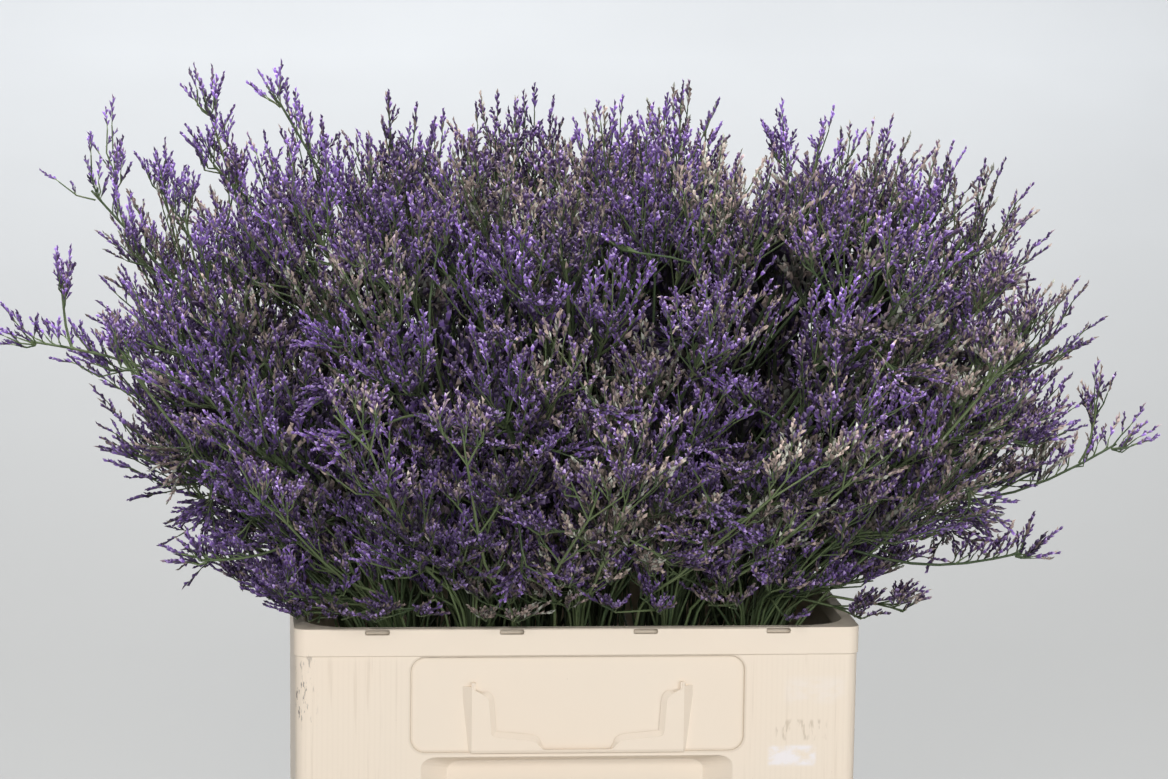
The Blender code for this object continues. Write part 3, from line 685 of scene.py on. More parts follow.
def clear_of_bucket(place, radius):
    """Whether a point with a radius is above the rim or well inside the mouth."""
    if place.z - radius > BUCKET_HEIGHT + BUCKET_GAP:
        return True
    margin = radius + BUCKET_GAP + LIP_WIDTH + MOUTH_CORNER_SHARE * MOUTH_CORNER
    inside_x = abs(place.x) < BUCKET_WIDTH / 2.0 - margin
    return inside_x and abs(place.y) < BUCKET_DEPTH / 2.0 - margin


def all_clear(points, radius):
    """Whether every point of a line is clear of the bucket."""
    return all(clear_of_bucket(point, radius) for point in points)


def line_distance(p1, q1, p2, q2):
    """Shortest distance between two line pieces, and how far along each it lies."""
    d1, d2, r = q1 - p1, q2 - p2, p1 - p2
    a, e, f = d1.dot(d1), d2.dot(d2), d2.dot(r)
    c, b = d1.dot(r), d1.dot(d2)
    spread = a * e - b * b
    s = clamp((b * f - c * e) / spread) if spread > TINY_SQUARE else 0.0
    t = (b * s + f) / e if e > TINY_SQUARE else 0.0
    if t < 0.0:
        t = 0.0
        s = clamp(-c / a) if a > TINY_SQUARE else 0.0
    elif t > 1.0:
        t = 1.0
        s = clamp((b - c) / a) if a > TINY_SQUARE else 0.0
    return ((p1 + d1 * s) - (p2 + d2 * t)).length, s, t


def route_is_clear(crowd, owner, route, radius, size):
    """Whether a whole stalk keeps clear of other stems, and its core of its own stem too."""
    core = CORE_RADIUS * size
    probe = route[-1], route[-1] + UP * CORE_PROBE, core, core
    for line in (probe, (*route[-2:], radius, radius)):
        if not crowd.is_clear(owner, *line, whole_stem=False):
            return False
    return all(crowd.is_clear(owner, a, b, radius, radius) for a, b in zip(route, route[1:]))


def add_head(crowd, owner, route, radius, size):
    """Register a stalk with its core, and return the plan of both."""
    for a, b in zip(route, route[1:]):
        crowd.add(owner, a, b, radius, radius)
    axis = (route[-1] - route[-2]).normalized()
    axis = (axis + UP * HEAD_UPTURN).normalized()
    core = CORE_RADIUS * size
    along = axis * core * CORE_LINE
    crowd.add(owner, route[-1] - along, route[-1] + along, core, core)
    return {
        "owner": owner, "route": route, "radius": radius, "axis": axis, "size": size, "spikes": {},
        "neck": route[-1] - axis * CORE_RADIUS * size,
    }


def plan_stalk(crowd, stem, site):
    """The main stalk from the floor up, and its head."""
    u, v = site
    route = [foot_point(u, v)]
    route += [bunch_point(u, v, rise) for rise in STEM_STEPS]
    route.append(bunch_point(u, v, 1.0))
    plan = add_head(crowd, (stem, 0), route, STEM_RADIUS, 1.0)
    plan["fine"] = [stem_point(u, v, rise) for rise in np.linspace(-1.0, 1.0, 2 * ROUTE_STEPS)]
    return plan


def plan_branch(crowd, owner, site, stalk, number, count, draw):
    """One branch: it leaves the stalk at a fork and ends beside the others of its stem."""
    if number == count:
        turn, fork, reaches, largest = math.atan2(site[1], site[0]), 0.0, LOW_REACH, LOW_SIZE
    else:
        turn = math.tau * number / count + site[0] * SITE_TURN
        fork, reaches, largest = FORK_STEPS[number], BRANCH_REACH, 1.0
    for _ in range(BRANCH_TRIES):
        angle = turn + draw.uniform(-BRANCH_SWING, BRANCH_SWING)
        spread = SITE_CELL * draw.uniform(*BRANCH_SPREAD)
        reach = draw.uniform(*reaches)
        start = fork + draw.uniform(0.0, FORK_SHIFT)
        aside = spread * math.cos(angle), spread * math.sin(angle)
        route = [point_on(stalk["route"], start)]
        route += branch_points(site, aside, start, reach, BRANCH_STEPS)
        size = draw.uniform(*HEAD_SIZES) * largest
        if route_is_clear(crowd, owner, route, BRANCH_RADIUS, size):
            plan = add_head(crowd, owner, route, BRANCH_RADIUS, size)
            plan["fine"] = branch_points(site, aside, start, reach)
            return plan
    return None


def branch_points(site, aside, start, reach, steps=FINE_STEPS):
    """Points of a branch that leaves a stem's way at rise start and ends aside of it."""
    points = []
    for step in steps:
        share = step**BRANCH_BOW
        rise = blend(start, reach, step)
        points.append(stem_point(site[0] + aside[0] * share, site[1] + aside[1] * share, rise))
    return points


def point_on(route, rise):
    """The point of a stalk's straight pieces at this rise above the rim."""
    marks = [*STEM_STEPS, 1.0]
    for index in range(len(marks) - 1):
        if rise <= marks[index + 1]:
            share = (rise - marks[index]) / (marks[index + 1] - marks[index])
            return route[index + 1].lerp(route[index + 2], share)
    return route[-1].copy()


def plan_strays(crowd, stalks):
    """The long side sprays, each on the stem whose tip lies nearest."""
    strays = []
    for tip, sag, size, heads in STRAYS:
        goal = Vector(tip)
        order = sorted(range(len(stalks)), key=lambda i: (stalks[i]["route"][-1] - goal).length)
        for stem in order[:STRAY_HOSTS]:
            plan = plan_stray(crowd, stem, stalks[stem], goal, sag, size, heads)
            if plan:
                strays += plan
                break
    return strays


def plan_stray(crowd, stem, stalk, goal, sag, size, heads):
    """One stray: a long bare stalk past its own stem's head, with small heads near its tip."""
    start = point_on(stalk["route"], STRAY_FORK)
    outward = Vector((goal.x - start.x, goal.y - start.y, 0.0)).normalized()
    across = Vector((-outward.y, outward.x, 0.0))
    for bend in STRAY_BENDS:
        aside = across * bend

        def arched(step):
            return start.lerp(goal, step) + math.sin(math.pi * step) * (aside + UP * sag)

        route = [arched(step) for step in STRAY_STEPS]
        if route_is_clear(crowd, (stem, STRAY_HEAD), route, STRAY_RADIUS, size):
            break
    else:
        return []
    plans = [add_head(crowd, (stem, STRAY_HEAD), route, STRAY_RADIUS, size)]
    plans[0]["fine"] = [arched(step) for step in FINE_STEPS]
    for number in range(1, heads):
        root = route[2].lerp(route[3], TWIG_ROOT - TWIG_SPACING * (number - 1))
        hand = -1.0 if number % 2 else 1.0
        step = across * hand * TWIG_ASIDE + outward * TWIG_OUT + UP * TWIG_RISE
        twig = [root, root + step, root + step * TWIG_STRETCH + UP * TWIG_RISE]
        owner = (stem, STRAY_HEAD + number)
        if route_is_clear(crowd, owner, twig, STRAY_RADIUS, size * TWIG_SIZE):
            plans.append(add_head(crowd, owner, twig, STRAY_RADIUS, size * TWIG_SIZE))
            plans[-1]["fine"] = bend_through(twig, 2)
    return plans


def bend_through(points, steps):
    """Points on a smooth line through the given ones."""
    ends = [points[0] * 2.0 - points[1], *points, points[-1] * 2.0 - points[-2]]
    line = []
    for a, b, c, d in zip(ends, ends[1:], ends[2:], ends[3:]):
        for step in range(steps):
            t = step / steps
            straight = 2.0 * b + (c - a) * t
            bent = straight + (2.0 * a - 5.0 * b + 4.0 * c - d) * t * t
            line.append(0.5 * (bent + (3.0 * b - 3.0 * c + d - a) * t**3))
    return [*line, points[-1].copy()]


def bend_towards(start, pull, end, steps):
    """Points of a curve from start to end that leans towards pull."""
    shares = [step / steps for step in range(steps + 1)]
    return [start * (1 - t) ** 2 + pull * 2 * t * (1 - t) + end * t * t for t in shares]


def core_mesh(size):
    """A small stretched ball of 20 faces, one face straight down."""
    shape = bmesh.new()
    bmesh.ops.create_icosphere(shape, subdivisions=1, radius=CORE_RADIUS * size)
    shape.normal_update()
    lowest = min(shape.faces, key=lambda f: f.calc_center_median().z)
    turn = lowest.normal.rotation_difference(Vector((0.0, 0.0, -1.0)))
    bmesh.ops.transform(shape, matrix=turn.to_matrix().to_4x4(), verts=shape.verts)
    bmesh.ops.scale(shape, vec=(1.0, 1.0, CORE_STRETCH), verts=shape.verts)
    shape.normal_update()
    return shape


def plan_spikes(crowd, plan, draw):
    """Where the solids have a spike on this head: its root and its tip."""
    shape = core_mesh(plan["size"])
    turn = UP.rotation_difference(plan["axis"])
    frame_of_head = Matrix.Translation(plan["route"][-1]) @ turn.to_matrix().to_4x4()
    for index, face in enumerate(shape.faces):
        root = face.calc_center_median()
        normal = root.normalized()
        length = draw.uniform(*SPIKE_LENGTH) + TOP_SPIKE_EXTRA * max(0.0, normal.z)
        if normal.z < 0.0:
            continue
        way = (normal + UP * SPIKE_LIFT).normalized()
        width = CORE_RADIUS * plan["size"] * SPIKE_ROOT_SHARE
        for cut in SPIKE_CUTS:
            tip = root + way * length * plan["size"] * cut
            start, end = frame_of_head @ root, frame_of_head @ tip
            line = plan["owner"], start, end, width, SPIKE_TIP_RADIUS
            if crowd.is_clear(*line, whole_stem=False):
                crowd.add(*line)
                plan["spikes"][index] = (start, end)
                break
    shape.free()


def plan_bunch():
    """Every stem's plan: its stalk, branches and strays, then the spikes on each head."""
    crowd = Crowd()
    sites = stem_sites()
    stalks = [plan_stalk(crowd, stem, site) for stem, site in enumerate(sites)]
    stems = [[stalk] for stalk in stalks]
    for plan in plan_strays(crowd, stalks):
        stems[plan["owner"][0]].append(plan)
    for stem, site in enumerate(sites):
        draw = random.Random(BRANCH_SEED + stem)
        count = BRANCH_COUNTS[stem % len(BRANCH_COUNTS)]
        low = 1 if math.hypot(*site) > LOW_FROM else 0
        for number in range(count + low):
            owner = (stem, number + 1)
            branch = plan_branch(crowd, owner, site, stalks[stem], number, count, draw)
            if branch:
                stems[stem].append(branch)
    for stem, plans in enumerate(stems):
        draw = random.Random(SPIKE_SEED + stem)
        for plan in plans:
            plan_spikes(crowd, plan, draw)
    return stems


# Sprays and spikelets


def square_to(way, near):
    """The unit vector square to way that points as nearly as possible along near."""
    rest = near - way * near.dot(way)
    if rest.length < TINY_LENGTH:
        rest = Vector((1.0, 0.0, 0.0)) - way * way.x
    return rest.normalized()


class Growth:
    """The fine lines and spikelets of one group of stems."""

    def __init__(self):
        self.lines = []
        self.spikelets = []
        self.stems = []

    def add_line(self, points, start_radius, end_radius, shade, tone):
        """A stalk or twig that tapers from its first point to its last."""
        self.lines.append((points, start_radius, end_radius, shade, tone))

    def add_spikelet(self, root, way, upper, size, mood, shade, plain):
        """One spikelet, with painted shade that darkens it near the rim, paler to the right, its
        florets towards upper.
        """
        mood = clamp(mood + MOOD_DRIFT * root.x)
        shade *= LOW_SHADE + (1.0 - LOW_SHADE) * clamp((root.z - LOW_SHADE_FOOT) / LOW_SHADE_SPAN)
        self.spikelets.append((root, way, upper, size, mood, shade, plain))

    def weight(self):
        """How much there is to build, a plain spikelet counting less than half."""
        return sum(PLAIN_WEIGHT if spikelet[6] else 1.0 for spikelet in self.spikelets)


def grow_spray(
    growth, draw, root, tip, count, mood, shade, sizes, plain=False, bare=BARE_SHARE, bulk=1.0
):
    """A twig from root to tip, bare at first, with spikelets to both sides and one on its end."""
    way = tip - root
    length = way.length
    if length < SPRAY_SHORTEST:
        return
    way.normalize()
    side = square_to(way, nudged(draw, 1))
    lift = square_to(way, UP)
    bow = lift * length * draw.uniform(*SPRAY_BOW) + side * length * draw.uniform(*SPRAY_BEND)
    end_size = draw.uniform(*END_SIZES) * bulk
    foot = tip - way * min(sizes.spikelet_length * end_size * END_OVERLAP, length * END_SHARE)
    span = foot - root

    def along(share):
        return root + span * share + bow * math.sin(math.pi * share)

    steps = 1 if plain else SPRAY_STEPS
    line = [along(step / steps) for step in range(steps + 1)]
    growth.add_line(line, SPRAY_RADIUS * FLARE, SPRAY_RADIUS, shade, draw.random())
    shade *= draw.uniform(*SPRAY_DIMS)
    growth.add_spikelet(foot, way, lift, end_size, mood, shade, plain)
    hand = draw.choice((-1.0, 1.0))
    across = way.cross(lift)
    for number in range(count - 1):
        share = 1.0 - (1.0 - bare) * (number + draw.uniform(*SIDE_STAGGER)) / (count - 1)
        splay = draw.uniform(*SPRAY_SPLAY)
        raise_by = draw.uniform(*SPRAY_RAISE)
        aim = (way + across * hand * splay + lift * raise_by).normalized()
        size = draw.uniform(*SIDE_SIZES) * bulk
        upper = (lift + way * UPPER_ALONG + across * hand * UPPER_ASIDE).normalized()
        # Painted shade: spikelets darker towards the spray's root
        dim = shade * (ROOT_DIM + (1.0 - ROOT_DIM) * share)
        growth.add_spikelet(along(share), aim, square_to(aim, upper), size, mood, dim, plain)
        hand = -hand


def spray_mood(draw, sizes):
    """How pale a spray is: most are violet, and a few are silvery."""
    return draw.uniform(*(SILVER_MOODS if draw.random() < sizes.pale_share else VIOLET_MOODS))


def nudged(draw, reach):
    """A small random step."""
    return Vector([draw.uniform(-reach, reach) for _ in range(3)])


def dress_head(growth, draw, plan, sizes):
    """Sprays in place of a solid head's spikes, from the last stretch of its stalk."""
    points, neck, top = plan["fine"], plan["neck"], plan["route"][-1]
    back = (points[-2] - points[-1]).normalized()
    head_mood = spray_mood(draw, sizes)
    light = draw.uniform(*HEAD_LIGHT)
    crown = [points[-1], neck.lerp(top, 0.5)]
    growth.add_line(crown, SPRAY_RADIUS * 2, SPRAY_RADIUS, 1.0, draw.random())
    for start, end in plan["spikes"].values():
        root = neck.lerp(start, draw.uniform(*HEAD_ROOTS)) + back * draw.uniform(*HEAD_DROPS)
        mood = clamp(head_mood + draw.uniform(-HEAD_MOOD_STEP, HEAD_MOOD_STEP))
        tip = end + nudged(draw, HEAD_NUDGE)
        if clear_of_bucket(tip, HEAD_TIP_ROOM):
            grow_spray(growth, draw, root, tip, sizes.spikelets_per_spray, mood, light, sizes)
    if len(plan["spikes"]) < FEWEST_SPIKES:
        tip = top + plan["axis"] * LONE_SPRAY * plan["size"]
        grow_spray(growth, draw, neck, tip, SMALL_SPRAY, head_mood, LONE_LIGHT, sizes)


def place_on(points, share):
    """The point a share of the way along a line, and the line's direction there."""
    place = share * (len(points) - 1)
    index = min(int(place), len(points) - 2)
    near, far = points[index : index + 2]
    return near.lerp(far, place - index), (far - near).normalized()


def dress_stray(growth, draw, plan, sizes):
    """A loose sprig on the outer part of a long side stalk, within its solid spikes."""
    mood = draw.uniform(*STRAY_MOODS)
    for start, end in plan["spikes"].values():
        if draw.random() >= STRAY_BARE_SPIKES:
            root = plan["neck"].lerp(start, STRAY_ROOT)
            looks = SMALLEST_SPRAY, mood, 1.0, sizes, False, STRAY_BARE[0]
            grow_spray(growth, draw, root, end, *looks)
    count = STRAY_SPRAYS[0] if plan["owner"][1] == STRAY_HEAD else STRAY_SPRAYS[1]
    for number in range(count):
        share = STRAY_SPRAYS_FROM + STRAY_SPRAYS_SPAN * number / count
        root, along = place_on(plan["fine"], share)
        hand = 1.0 if number % 2 else -1.0
        aside = square_to(along, UP) * draw.uniform(*STRAY_LIFTS)
        aside += along.cross(UP) * hand * STRAY_ASIDE
        tip = root + (along + aside).normalized() * draw.uniform(*STRAY_SPRAY_REACH)
        looks = SMALLEST_SPRAY, mood, 1.0, sizes, False, STRAY_BARE[1]
        grow_spray(growth, draw, root, tip, *looks)


def dress_stalk(growth, draw, points, sizes, from_share):
    """Side twigs with a few spikelets on the outer part of a stalk."""
    for _ in range(sizes.twigs_per_branch):
        share = draw.uniform(from_share, TWIGS_TO)
        root, along = place_on(points, share)
        aside = square_to(along, Vector((draw.uniform(-1, 1), draw.uniform(-1, 1), 0.3)))
        reach = draw.uniform(*TWIG_REACH)
        way = along * TWIG_SLANT + aside * TWIG_SLANT + UP * TWIG_LIFT
        tip = root + way.normalized() * reach
        if all_clear((tip, root.lerp(tip, TWIG_MIDDLE)), TIP_ROOM):
            least, more = TWIG_LIGHT
            shade = least + more * share * (len(points) - 1) / len(points)
            looks = spray_mood(draw, sizes), shade, sizes, True, TWIG_BARE
            grow_spray(growth, draw, root, tip, SMALL_SPRAY, *looks)


def grow_tuft(
    growth, draw, points, count, mood, shade, sizes, plain, reach=TUFT_REACH, bulk=1.0
):
    """Sprays round the end of a thin shoot."""
    way = (points[-1] - points[-2]).normalized()
    for number in range(count):
        turn = math.tau * (number + draw.random()) / count
        flat = square_to(way, compass(turn, TUFT_TILT))
        aim = way * draw.uniform(*TUFT_ALONG) + flat * draw.uniform(*TUFT_ASIDE)
        aim += UP * TWIG_LIFT
        root = points[-1].lerp(points[-2], draw.uniform(*TUFT_ROOTS))
        tip = points[-1] + aim.normalized() * draw.uniform(*reach) * SHOOT_SIZE
        if clear_of_bucket(tip, TIP_ROOM) and clear_of_bucket(root, FORK_ROOM):
            looks = mood, shade, sizes, plain, TUFT_BARE, bulk
            grow_spray(growth, draw, root, tip, SMALL_SPRAY, *looks)


def grow_shoots(growth, draw, site, sizes):
    """Thin side shoots that leave a stalk low down and end in small heads inside the bunch."""
    for _ in range(sizes.shoots_per_stem):
        angle = draw.uniform(0.0, math.tau)
        spread = SITE_CELL * draw.uniform(*SHOOT_SPREAD)
        aside = spread * math.cos(angle), spread * math.sin(angle)
        edge = math.hypot(site[0] + aside[0], site[1] + aside[1])
        if edge > 1.0:
            aside = aside[0] / edge * TURNED_BACK, aside[1] / edge * TURNED_BACK
        start = draw.uniform(*SHOOT_START)
        reach = draw.uniform(*SHOOT_REACH)
        points = branch_points(site, aside, start, reach)
        high = max(0.0, reach - SHOOT_LIGHT_FROM)
        shade = SHOOT_LIGHT[0] + SHOOT_LIGHT[1] * high / (1.0 - SHOOT_LIGHT_FROM)
        radii = SHOOT_RADIUS * FLARE, SHOOT_RADIUS * SHOOT_TAPER
        growth.add_line(points, *radii, shade * SHOOT_TAPER, draw.random())
        mood = spray_mood(draw, sizes)
        grow_tuft(growth, draw, points, sizes.sprays_per_shoot, mood, shade, sizes, True)
        if reach > LONG_SHOOT:
            dress_stalk(growth, draw, points, sizes, SHOOT_TWIGS_FROM)


def rim_shoot(draw, site):
    """The way of one thin shoot that leans across its neighbours and ends low, or None."""
    reach = draw.uniform(*RIM_SHOOT_REACH)
    angle = draw.uniform(0.0, math.tau)
    spread = draw.uniform(*RIM_SHOOT_SPREAD)
    u, v = site[0] + spread * math.cos(angle), site[1] + spread * math.sin(angle)
    edge = math.hypot(u, v)
    limit = draw.uniform(*RIM_SHOOT_SHARE)
    if edge > limit:
        u, v = u / edge * limit, v / edge * limit
    start = draw.uniform(*RIM_SHOOT_START)
    points = branch_points(site, (u - site[0], v - site[1]), start, reach)
    return points if all_clear(points, SHOOT_RADIUS) else None


def nearest_stem(sites, place):
    """The stem that passes nearest to a place just above the rim."""
    return min(range(STEM_COUNT), key=lambda i: (bunch_point(*sites[i], RIM_RISE) - place).length)


def edge_shoots(sites):
    """Shoots that rise inside the mouth and lean out over its edge, each with its stem's number."""
    draw = random.Random(EDGE_SEED)
    ends = [Vector(place) for place in CORNER_ENDS]
    for number in range(EDGE_SHOOTS):
        place = (number + draw.uniform(*STAGGER)) / EDGE_SHOOTS * 4.0
        side, share = int(place), 2.0 * (place - int(place)) - 1.0
        inwards = draw.uniform(*EDGE_INWARDS)
        x, y = ((share, -1.0), (1.0, share), (share, 1.0), (-1.0, share))[side]
        x *= BUCKET_WIDTH / 2.0 - inwards
        y *= BUCKET_DEPTH / 2.0 - inwards
        ends.append(Vector((x, y, BUCKET_HEIGHT + draw.uniform(*EDGE_RISE))))
    found = []
    for end in ends:
        stem = nearest_stem(sites, end)
        start = stem_point(*sites[stem], draw.uniform(*EDGE_START))
        middle = bunch_point(*sites[stem], 0.0).lerp(end, EDGE_PULL)
        middle.x = clamp(middle.x, -RIM_HALF[0], RIM_HALF[0])
        middle.y = clamp(middle.y, -RIM_HALF[1], RIM_HALF[1])
        middle.z = BUCKET_HEIGHT + EDGE_CLEARANCE
        points = bend_through([start, middle, end], 3)
        if all_clear(points, SHOOT_RADIUS):
            found.append((stem, points))
    return found


def rim_light(place):
    """How much light reaches a place near the rim: most in front and outside, little within."""
    out = max(abs(place.x) / RIM_HALF[0], abs(place.y) / RIM_HALF[1])
    high = (place.z - BUCKET_HEIGHT) / RIM_LIGHT_RISE
    base, outwards, upwards = RIM_LIGHT
    light = base + outwards * (out - RIM_LIGHT_FROM) + upwards * high
    return clamp(light, RIM_LIGHT_LEAST)


def grow_forks(growth, draw, points, sizes, forks=3):
    """Forks with small tufts on the end of a thin shoot near the rim."""
    light = rim_light(points[-1])
    way = (points[-1] - points[-2]).normalized()
    growth.add_line(points, SHOOT_RADIUS * FLARE, SHOOT_RADIUS, light, draw.random())
    mood = spray_mood(draw, sizes)
    turn = draw.uniform(0.0, math.tau)
    for number in range(forks):
        flat = compass(turn + math.tau * number / forks)
        aim = (way + flat * FORK_SPLAY + UP * FORK_LIFT).normalized()
        fork = [points[-1], points[-1] + aim * draw.uniform(*FORK_REACH)]
        if clear_of_bucket(fork[1], FORK_ROOM):
            growth.add_line(fork, SHOOT_RADIUS, SHOOT_RADIUS * TAPER, light, draw.random())
            inner = light < DIM_LIGHT
            grow_tuft(growth, draw, fork, 2, mood, light, sizes, inner, FORK_TUFT_REACH)


def grow_rim_shoots(growth, draw, site, sizes):
    """Forked shoots that fill the bucket's mouth and flower just above the rim."""
    for _ in range(sizes.rim_shoots_per_stem):
        points = rim_shoot(draw, site) or rim_shoot(draw, site)
        if points is not None:
            grow_forks(growth, draw, points, sizes)


def random_place(draw, rises):
    """Somewhere in the bunch between two rises."""
    share, angle = math.sqrt(draw.random()), draw.uniform(0.0, math.tau)
    return bunch_point(share * math.cos(angle), share * math.sin(angle), draw.uniform(*rises))


def skirt_place(draw):
    """Somewhere on the flank between the bucket's mouth and the lowest heads."""
    angle, out = draw.uniform(0.0, math.tau), draw.random()
    halves = blend(*SKIRT_HALF_X, out), blend(*SKIRT_HALF_Y, out)
    reach = superellipse(angle, *halves, RIM_POWER)
    z = blend(*SKIRT_Z, out) + draw.uniform(*SKIRT_LIFT)
    return Vector((reach * math.cos(angle), reach * math.sin(angle), z))


def fill_gaps(growths, heads, hosts, wanted, room, share, light, sizes):
    """Extra heads wherever there is room at the wanted places, each from the nearest stalk."""
    draw = random.Random(SEED * len(wanted))

    def fork_of(host):
        return host[0][int(share * (len(host[0]) - 1))]

    for place in wanted:
        if min((place - head).length for head in heads) < room:
            continue
        if not clear_of_bucket(place, TIP_ROOM):
            continue
        host = min(hosts, key=lambda one: (fork_of(one) - place).length)
        fine, growth = host[0], growths[host[1][0]]
        start, after = fork_of(host), fine[int(share * (len(fine) - 1)) + 1]
        middle = start + (after - start).normalized() * (start - place).length * FILLER_PULL
        points = bend_towards(start, middle, place, FILLER_STEPS)
        if not all_clear(points, SHOOT_RADIUS):
            continue
        heads.append(place)
        growth.add_line(points, BRANCH_RADIUS, SPRAY_RADIUS * FLARE, light, draw.random())
        mood = spray_mood(draw, sizes)
        lit = light * draw.uniform(*FILLER_DIMS)
        looks = mood, lit, sizes, light < DIM_LIGHT
        bulk = CORE_BULK if light < DEEP_LIGHT else 1.0
        grow_tuft(growth, draw, points, sizes.sprays_per_filler, *looks, bulk=bulk)


def fill_bunch(growths, stems, sizes):
    """Fill the holes in the surface, in the layers below it and on the flank above the rim."""
    draw = random.Random(FILL_SEED)
    plans = [plan for stem in stems for plan in stem]
    heads = [plan["route"][-1] for plan in plans]
    hosts = [(plan["fine"], plan["owner"]) for plan in plans if plan["owner"][1] < STRAY_HEAD]
    stalks = [host for host in hosts if host[1][1] == 0]

    def anywhere(tries, rises):
        return [random_place(draw, rises) for _ in range(tries)]

    def in_hollow():
        return Vector([c + h * draw.uniform(-1, 1) for c, h in zip(*HOLLOW)])

    outer = [Vector(place) for place in SHOULDER_HEADS] + anywhere(GAP_TRIES, GAP_RISE)
    # Each layer: hosts, wanted places, room, share of the host below the fork, light
    for near, wanted, room, share, light in (
        (hosts, outer, GAP_ROOM, 0.62, 1.0),
        (stalks, [skirt_place(draw) for _ in range(SKIRT_TRIES)], SKIRT_ROOM, 0.46, 0.9),
        (hosts, anywhere(INNER_TRIES, INNER_RISE), INNER_ROOM, 0.5, 0.3),
        (stalks, [in_hollow() for _ in range(HOLLOW_TRIES)], HOLLOW_ROOM, 0.6, 0.16),
        (stalks, [Vector(place) for place in GAP_HEADS], GAP_HEAD_ROOM, 0.6, 0.18),
        (stalks, anywhere(CORE_TRIES, CORE_RISE), CORE_ROOM, 0.5, 0.12),
    ):
        fill_gaps(growths, heads, near, wanted, room, share, light, sizes)


def front_route(draw, angle):
    """The way of a stalk that leans out over the rim, with its place there and its direction."""
    out = compass(angle)
    mouth = superellipse(angle, *RIM_HALF, RIM_POWER)
    height = draw.uniform(*FRONT_HEIGHT)
    low, high = LOWEST_ANGLE, 0.0
    for _ in range(HALVINGS):
        fall = (low + high) / 2.0
        low, high = (fall, high) if dome_outline(fall)[1] < height else (low, fall)
    reach = dome_outline(fall)[0] * superellipse(angle, *DOME_HALF, DOME_POWER) * FRONT_OUT
    end = out * reach + Vector((DOME_SHIFT_X, 0.0, height)) + nudged(draw, FRONT_NUDGE)
    root = out * mouth * FRONT_ROOT[0]
    root.z = BUCKET_HEIGHT + FRONT_ROOT[1]
    middle = out * (mouth * (1.0 - FRONT_MIDDLE[0]) + reach * FRONT_MIDDLE[0])
    middle.z = blend(BUCKET_HEIGHT, height, FRONT_MIDDLE[1])
    rim = out * mouth * FRONT_RIM[0]
    rim.z = BUCKET_HEIGHT + FRONT_RIM[1]
    return bend_through([root, rim, middle, end], 3), rim, out


def front_stems(growths, sites, sizes):
    """Forked stalks that rise over the lowest heads all round and end in pale sprays."""
    draw = random.Random(FRONT_SEED)
    for number in range(FRONT_STEMS):
        angle = (number + draw.uniform(*STAGGER)) * math.tau / FRONT_STEMS
        points, rim, out = front_route(draw, angle)
        if not all_clear(points, FRONT_RADIUS):
            continue
        growth = growths[nearest_stem(sites, rim)]
        growth.add_line(points, FRONT_RADIUS, FRONT_RADIUS * TAPER, 1.0, 1.0)
        mood = draw.uniform(*FRONT_MOODS)
        across = Vector((-out.y, out.x, 0.0))
        for hand, part in FRONT_FORKS:
            way = (points[part] - points[part - 1]).normalized()
            aim = way + across * hand * draw.uniform(*FRONT_SPLAY) + out * FRONT_FORK_OUT
            aim += UP * FRONT_FORK_LIFT
            tip = points[part] + aim.normalized() * draw.uniform(*FRONT_FORK_REACH)
            if clear_of_bucket(tip, HEAD_TIP_ROOM):
                fork = [points[part], tip]
                growth.add_line(fork, SHOOT_RADIUS, SHOOT_RADIUS * TAPER, 1.0, 1.0)
                grow_tuft(growth, draw, fork, 2, mood, 1.0, sizes, False, FRONT_TUFT_REACH)


def grow_stem(growth, draw, plans, site, sizes):
    """The fine growth on one stem's stalk, branches and strays."""
    for plan in plans:
        number, points = plan["owner"][1], plan["fine"]
        end = plan["radius"] * BRANCH_TAPER if number else STEM_TIP_RADIUS
        growth.add_line(points, plan["radius"], end, STALK_LIGHT, draw.random())
        if number >= STRAY_HEAD:
            dress_stray(growth, draw, plan, sizes)
        else:
            dress_head(growth, draw, plan, sizes)
            twigs_from = BRANCH_TWIGS_FROM if number else STALK_TWIGS_FROM
            dress_stalk(growth, draw, points, sizes, twigs_from)
    grow_shoots(growth, draw, site, sizes)
    grow_rim_shoots(growth, draw, site, sizes)


def grow_bunch(sizes):
    """All the fine growth, split into groups of neighbouring stems."""
    stems = plan_bunch()
    sites = stem_sites()
    growths = {}
    for stem, site in enumerate(sites):
        growths[stem] = Growth()
        draw = random.Random(GROWTH_SEED + stem)
        grow_stem(growths[stem], draw, stems[stem], site, sizes)
        growths[stem].stems.append(stem)
    draw = random.Random(SHOOT_SEED)
    for stem, points in edge_shoots(sites):
        grow_forks(growths[stem], draw, points, sizes)
    front_stems(growths, sites, sizes)
    fill_bunch(growths, stems, sizes)
    return in_groups(growths, sites)


def in_groups(growths, sites):
    """The stems' growth put together in groups of neighbours that weigh about the same."""
    order = sorted(range(STEM_COUNT), key=lambda i: math.atan2(sites[i][1], sites[i][0]))
    filled = weight = sum(growth.weight() for growth in growths.values())
    groups = []
    for stem in order:
        growth = growths[stem]
        if filled + growth.weight() / 2 >= weight / GROUPS and len(groups) < GROUPS:
            groups.append(Growth())
            filled = 0
        groups[-1].lines += growth.lines
        groups[-1].spikelets += growth.spikelets
        groups[-1].stems += growth.stems
        filled += growth.weight()
    return groups


# Meshes


def link_new(name, mesh):
    """A new object of a mesh, in the scene."""
    thing = bpy.data.objects.new(name, mesh)
    bpy.context.scene.collection.objects.link(thing)
    return thing


def store(mesh, name, kind, values):
    """Write one value for each point."""
    attribute = mesh.attributes.new(name, kind, "POINT")
    field = "vector" if kind == "FLOAT_VECTOR" else "value"
    attribute.data.foreach_set(field, np.asarray(values).ravel())


